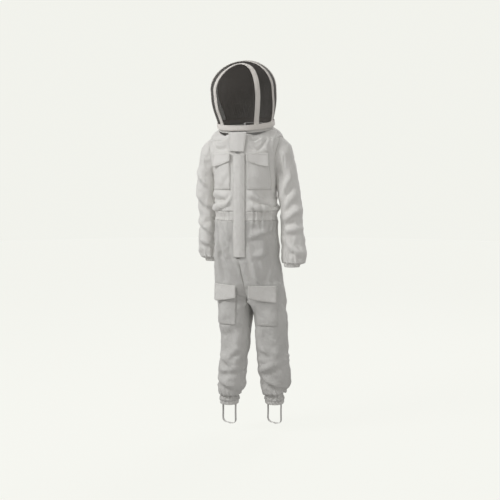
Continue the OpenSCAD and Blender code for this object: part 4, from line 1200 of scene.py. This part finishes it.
# %% Wrist and ankle casings
def casing_grid(middle_x, middle_y, top, radius, tall, number, seed):
    around, outline = 168, 20
    rows = []
    for k in range(outline + 1):
        a = 2 * math.pi * k / outline
        up = 0.5 + 0.5 * math.cos(a)
        deep = radius - 2.9 + 2.7 * math.copysign(abs(math.sin(a)) ** 0.8, math.sin(a))
        row = []
        for j in range(around + 1):
            t = 2 * math.pi * j / around
            pleat = math.sin(number * t + seed) + 0.6 * math.sin(number * 1.6 * t + 2 * seed + 5 * up)
            r = deep + pleat * 1.15 * (1 if math.sin(a) > 0 else 0.4) * (0.5 + math.sin(math.pi * up))
            row.append(to_frame((middle_x + r * math.cos(t), middle_y + r * math.sin(t),
                                 top - tall * (1 - up) + 0.5 * pleat * (2 * up - 1))))
        rows.append(row)
    return rows


def casing(name, node, middle, top, radius, tall, number, seed, finish):
    grid = casing_grid(*middle, top, radius, tall, number, seed)
    ring = grid_mesh(name, grid, finish)
    shape = bmesh.new()
    shape.from_mesh(ring.data)
    bmesh.ops.remove_doubles(shape, verts=shape.verts, dist=0.00005)
    bmesh.ops.recalc_face_normals(shape, faces=shape.faces)
    shape.to_mesh(ring.data)
    shape.free()
    surface = tree_of(ring)
    for drop in (3.2, tall - 3.2):
        line = [to_frame((middle[0] + radius * 1.05 * cos(a), middle[1] + radius * 1.05 * sin(a), top - drop))
                for a in range(0, 361, 3)]
        sew("suit", line, surface)
    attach(ring, "suit")
    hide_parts(node)
    return ring


for side, wrist_top, seed in ((LEFT, 846, 0.4), (RIGHT, 854, 1.9)):
    name = side_name(side)
    casing(name + "_cuff_cloth", name + "_cuff", tuple(ARMS[side][11][:2]), wrist_top, 36, 28, 26, seed, trim_cotton)
    casing(name + "_ankle_cloth", name + "_ankle_casing", tuple(LEGS[side][8][1:3]), 165, 45, 24, 32, seed + 1, top_cotton)
print("casings 4")

# %% Foot stirrups
FOOT_TURN = -18


def strap_path():
    path = [(-39, -0.4)] + [(-39 + 0.9 * math.sin(math.pi * t), -0.4 - 77 * t) for t in np.linspace(0.12, 1, 12)]
    path += [(-39 + 21 * (1 - cos(a)), -78 - 21 * sin(a)) for a in range(12, 91, 13)]
    path += [(x, -99.2) for x in np.linspace(-14, 14, 7)]
    return path + [(-x, z) for x, z in path[::-1][3:]]


def strap(side):
    x0, y0 = LEGS[side][8][1:3]
    path = np.array(strap_path())
    run = np.gradient(path, axis=0)
    out = np.stack([run[:, 1], -run[:, 0]], 1)
    out /= np.linalg.norm(out, axis=1, keepdims=True)
    rows = []
    for k, (p, o) in enumerate(zip(path, out)):
        row = []
        for c in np.linspace(0, 2 * math.pi, 17):
            flat_x, flat_y = math.cos(c), math.sin(c)
            wide = 7.0 * math.copysign(abs(flat_x) ** 0.35, flat_x)
            thick = 0.75 * math.copysign(abs(flat_y) ** 0.6, flat_y)
            q = p - o * (0.75 + thick)
            row.append(to_frame((x0 + q[0] * cos(FOOT_TURN) - wide * sin(FOOT_TURN),
                                 y0 + q[0] * sin(FOOT_TURN) + wide * cos(FOOT_TURN), 141 + q[1])))
        rows.append(row)
    grid = grid_mesh(side_name(side) + "_stirrup_elastic", rows, woven_elastic)
    shape = bmesh.new()
    shape.from_mesh(grid.data)
    bmesh.ops.remove_doubles(shape, verts=shape.verts, dist=0.00005)
    bmesh.ops.holes_fill(shape, edges=shape.edges)
    bmesh.ops.recalc_face_normals(shape, faces=shape.faces)
    shape.to_mesh(grid.data)
    shape.free()
    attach(grid, "suit")
    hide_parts(side_name(side) + "_stirrup")
    return grid


for side in (LEFT, RIGHT):
    strap(side)
print("stirrups 2")

# %% [markdown]
# ## The veil
# The veil is a dome of black net on three spring hoops. Each hoop runs in a channel of white
# tape from the rim over the head and back to the rim, so the hood keeps off the face. All
# of it is worked out on the neck ring, which slopes down to the front, and then turned.

# %% Shape of the hoops and the dome
RIM_TOP = 40
DOME_W = 190
FRONT_HOOP = (38, 42, -22, 305)
MIDDLE_HOOP = (82, 79, 17, 313)
REAR_HOOP = (121, 112, 54, 311)


def on_ring(p):
    x, y, w = p
    return (x / 1000, (y * cos(12) - w * sin(12)) / 1000, (y * sin(12) + w * cos(12)) / 1000)


def dome_low(turn, w):
    r = mix(134, 152, sin(90 * min(max((w - RIM_TOP) / 110, -0.2), 1)))
    shift = -8 * smooth((w - RIM_TOP) / 110)
    return np.array([r * sin(turn), shift - r * cos(turn), w])


def dome_high(turn, climb, crown_y, crown_w):
    foot = dome_low(turn, DOME_W)
    return np.array([foot[0] * cos(climb), mix(foot[1], crown_y, sin(climb) ** 2), mix(DOME_W, crown_w, sin(climb))])


def hoop_point(hoop, run):
    side = -1 if run < 1 else 1
    up = 1 - abs(run - 1)
    share = up / 0.45
    if up < 0.45:
        return dome_low(side * mix(hoop[0], hoop[1], smooth(share)), mix(RIM_TOP - 3, DOME_W, share))
    return dome_high(side * hoop[1], 90 * (up - 0.45) / 0.55, hoop[2], hoop[3])


def hoop_axes(hoop, run):
    p = hoop_point(hoop, run)
    along = hoop_point(hoop, min(run + 0.02, 2)) - hoop_point(hoop, max(run - 0.02, 0))
    along /= np.linalg.norm(along)
    out = p - np.array([0, 0, 120])
    out -= (out @ along) * along
    out /= np.linalg.norm(out)
    return p, np.cross(along, out), out


def closed_tube(piece):
    shape = bmesh.new()
    shape.from_mesh(piece.data)
    bmesh.ops.remove_doubles(shape, verts=shape.verts, dist=0.00005)
    bmesh.ops.holes_fill(shape, edges=shape.edges)
    bmesh.ops.recalc_face_normals(shape, faces=shape.faces)
    shape.to_mesh(piece.data)
    shape.free()


def hoop_tape(name, node, hoop, wide, seed):
    rows = []
    for run in np.linspace(0.0, 2.0, 150):
        p, across, out = hoop_axes(hoop, run)
        row = []
        pucker = 0.35 * noise.noise(Vector((run * 26, seed, 0)))
        drift = 0.9 * noise.noise(Vector((run * 7, seed, 4)))
        for c in np.linspace(0, 2 * math.pi, 25):
            flat_x, flat_y = math.cos(c), math.sin(c)
            x = (wide / 2 + pucker) * math.copysign(abs(flat_x) ** 0.75, flat_x)
            bead = 2.75 * max(0.0, 1 - (abs(x) / 4.6) ** 2) ** 0.5
            skirt = 0.85 + 0.2 * noise.noise(Vector((run * 40, x / 5, seed)))
            t = max(bead, skirt * abs(flat_y) ** 0.3) * (1 if flat_y > 0 else -1) * (abs(flat_y) > 1e-6)
            row.append(on_ring(p + (x + drift) * across + t * out))
        rows.append(row)
    tape = grid_mesh(name, rows, veil_tape)
    closed_tube(tape)
    surface = tree_of(tape)
    for place in (-wide / 2 + 2, -5.6, 5.6, wide / 2 - 2):
        line = []
        for run in np.linspace(0.02, 1.98, 120):
            p, across, out = hoop_axes(hoop, run)
            line.append(on_ring(p + place * across + 6 * out))
        sew("veil", line, surface)
    length = line_length([hoop_point(hoop, r) for r in np.linspace(0, 2, 90)])
    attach(tape, "veil")
    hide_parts(node)


hoop_tape("front_hoop_tape_cloth", "front_hoop_tape", FRONT_HOOP, 24, 1.0)
hoop_tape("middle_hoop_tape_cloth", "middle_hoop_tape", MIDDLE_HOOP, 18, 2.0)
hoop_tape("rear_hoop_tape_cloth", "rear_hoop_tape", REAR_HOOP, 16, 3.0)
print("hoop tapes 3")

# %% [markdown]
# The net is cut in three pieces that are caught in the tapes. Between them it is pulled
# nearly straight, and sags a few millimetres inwards where nothing holds it.

# %% Net panels
def band_rows(fore, aft, slack=1.0):
    rows = []
    for run in np.linspace(0, 2, 90):
        a, b = hoop_point(fore, run), hoop_point(aft, run)
        out = hoop_axes(fore, run)[2]
        row = []
        for k in np.linspace(0, 1, 14):
            sag = 5.0 * math.sin(math.pi * k) * (0.7 + 0.5 * noise.noise(Vector((run * 4, k * 2, fore[0]))))
            bulge = 3.5 * math.sin(math.pi * k)
            row.append(on_ring(mix(a, b, mix(0.05, 0.95, k)) + out * (bulge - sag * 0.6) * slack))
        rows.append(row)
    return rows


def front_rows(slack=1.0):
    rows = []
    for climb in (84, 78, 72, 66, 60, 54, 48, 42, 36, 30, 24, 18, 12, 6):
        rows.append([on_ring(dome_high(t * 41, climb, FRONT_HOOP[2], FRONT_HOOP[3])) for t in np.linspace(-1, 1, 40)])
    for k in np.linspace(0, 1, 26):
        w = mix(DOME_W, RIM_TOP - 6, k)
        edge = mix(FRONT_HOOP[0], FRONT_HOOP[1], smooth((w - RIM_TOP) / (DOME_W - RIM_TOP))) - 1
        rows.append([on_ring(dome_low(t * edge, w) * np.array([1, 1 + 0.012 * slack * noise.noise(Vector((t * 3, w / 50, 1))), 1]))
                     for t in np.linspace(-1, 1, 40)])
    return rows


def crown_rows(slack=1.0):
    rows = []
    around = np.linspace(0, 1, 84)
    for climb in (88, 82, 75, 68, 61, 54, 47, 40, 33, 26, 19, 12, 6):
        edge = REAR_HOOP[1] + 1.5
        row = []
        for k in around:
            back_share = smooth(1 - abs(2 * k - 1))
            row.append(dome_high(mix(edge, 360 - edge, k), climb, mix(REAR_HOOP[2] + 3, 70, back_share),
                                 mix(REAR_HOOP[3] - 1, 306, back_share)))
        rows.append(row)
    for s in np.linspace(0, 1, 34):
        w = mix(DOME_W, RIM_TOP - 4, s)
        edge = mix(REAR_HOOP[0], REAR_HOOP[1], smooth((w - RIM_TOP) / (DOME_W - RIM_TOP))) + 1.5
        rows.append([dome_low(mix(edge, 360 - edge, k), w) for k in around])
    grid = []
    for i, row in enumerate(rows):
        line = []
        for j, p in enumerate(row):
            inside = math.sin(math.pi * j / (len(row) - 1)) ** 0.4
            low = smooth((150 - p[2]) / 110)
            pleat = 1.5 * low * math.sin(j * 1.9 + 1.3 * math.sin(i / 7)) * inside
            dent = 4.2 * noise.noise(Vector((p[0] / 55, p[1] / 55, p[2] / 42))) * inside
            radial = np.array([p[0], p[1] + 8, 0]) / max(np.hypot(p[0], p[1] + 8), 30)
            line.append(on_ring(p + radial * ((pleat + dent) * slack - 1.0)))
        grid.append(line)
    return grid


def veil_cloth(name, shape, finish, slot_name, node, ply):
    """Made slack; the size it was cut to, which is its shape pulled taut, is worked out as well."""
    piece = grid_mesh(name, shape(1.0), finish)
    taut = np.array(shape(0.0)) * 1000
    flat = (max(line_length(r) for r in taut), max(line_length(taut[:, j]) for j in range(0, taut.shape[1], 6)))
    declare(piece, "veil", slot_name, flat, ply, (node,),
            area=min(pattern_area(taut), flat[0] * flat[1]))
    return piece


def fore_rows(slack):
    return band_rows(FRONT_HOOP, MIDDLE_HOOP, slack)


def aft_rows(slack):
    return band_rows(MIDDLE_HOOP, REAR_HOOP, slack)


veil_cloth("front_net_mesh", front_rows, net_black, "net", "front_net", 0)
veil_cloth("fore_side_net_mesh", fore_rows, net_black, "net", "fore_side_net", 0)
veil_cloth("aft_side_net_mesh", aft_rows, net_black, "net", "aft_side_net", 0)
veil_cloth("crown_cloth", crown_rows, crown_cotton, "cotton", "crown_panel", 0.0014)
print("nets 3, crown 1")

# %% [markdown]
# The rim is a doubled band with a wire in its lower edge. The gathers of net and crown are
# caught in its top, so it is never quite even.

# %% Rim band
def rim_rows():
    rows = []
    outline = 22
    for k in range(outline + 1):
        a = 2 * math.pi * k / outline
        flat_x, flat_y = math.cos(a), math.sin(a)
        row = []
        for j in range(241):
            t = 2 * math.pi * j / 240
            uneven = 0.9 * noise.noise(Vector((math.cos(t) * 5, math.sin(t) * 5, 2.5)))
            pucker = 0.45 * math.sin(46 * t + 2 * math.sin(5 * t)) + 0.35 * math.sin(71 * t)
            w = 26 + (12.6 + 0.5 * uneven) * math.copysign(abs(flat_y) ** 0.5, flat_y) + 0.5 * pucker * (flat_y > 0)
            swell = 0.7 if w > 20 else 1.0
            r = 134 + 2.9 * swell * math.copysign(abs(flat_x) ** 0.6, flat_x) + 0.5 * pucker * (1 - abs(w - 26) / 16)
            row.append(on_ring((r * math.cos(t), r * math.sin(t), w + uneven)))
        rows.append(row)
    return rows


rim = grid_mesh("veil_rim_cloth", rim_rows(), veil_tape)
closed_tube(rim)
rim_tree = tree_of(rim)
for w in (15.5, 23.0, 36.5):
    sew("veil", [on_ring((139 * cos(a), 139 * sin(a), w)) for a in range(0, 361, 2)], rim_tree)
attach(rim, "veil")
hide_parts("rim_band")

# %% [markdown]
# ## Zips, metal and elastic
# The moulded chain, its sliders and the neck coils have their true shape in the CAD model
# already, so they only get a finish.

# %% Finish the parts that stay
KEPT = {
    plated_metal: ("front_slider", "front_pull", "left_veil_slider", "right_veil_slider", "left_veil_pull", "right_veil_pull"),
    white_plastic: ("left_zip_teeth", "right_zip_teeth", "zip_bottom_stop", "neck_zip_coil", "veil_zip_coil"),
    tape_weave: ("left_zip_tape", "right_zip_tape", "neck_zip_tape", "veil_zip_tape", "fly_touch_tape", "nape_strip"),
    spring_steel: ("rim_wire", "front_hoop", "middle_hoop", "rear_hoop"),
    woven_elastic: ("left_wrist_elastic", "right_wrist_elastic", "waist_elastic", "left_ankle_elastic", "right_ankle_elastic"),
}
for finish, names in KEPT.items():
    for name in names:
        NODES[name].data.materials.clear()
        NODES[name].data.materials.append(finish)
for body, (beads, faces) in stitch_rows.items():
    rows_piece = make_mesh(body + "_stitching", beads, faces, sewing_thread, smooth=False)
    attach(rows_piece, body)
    print(body, "stitches", len(faces) // 6)
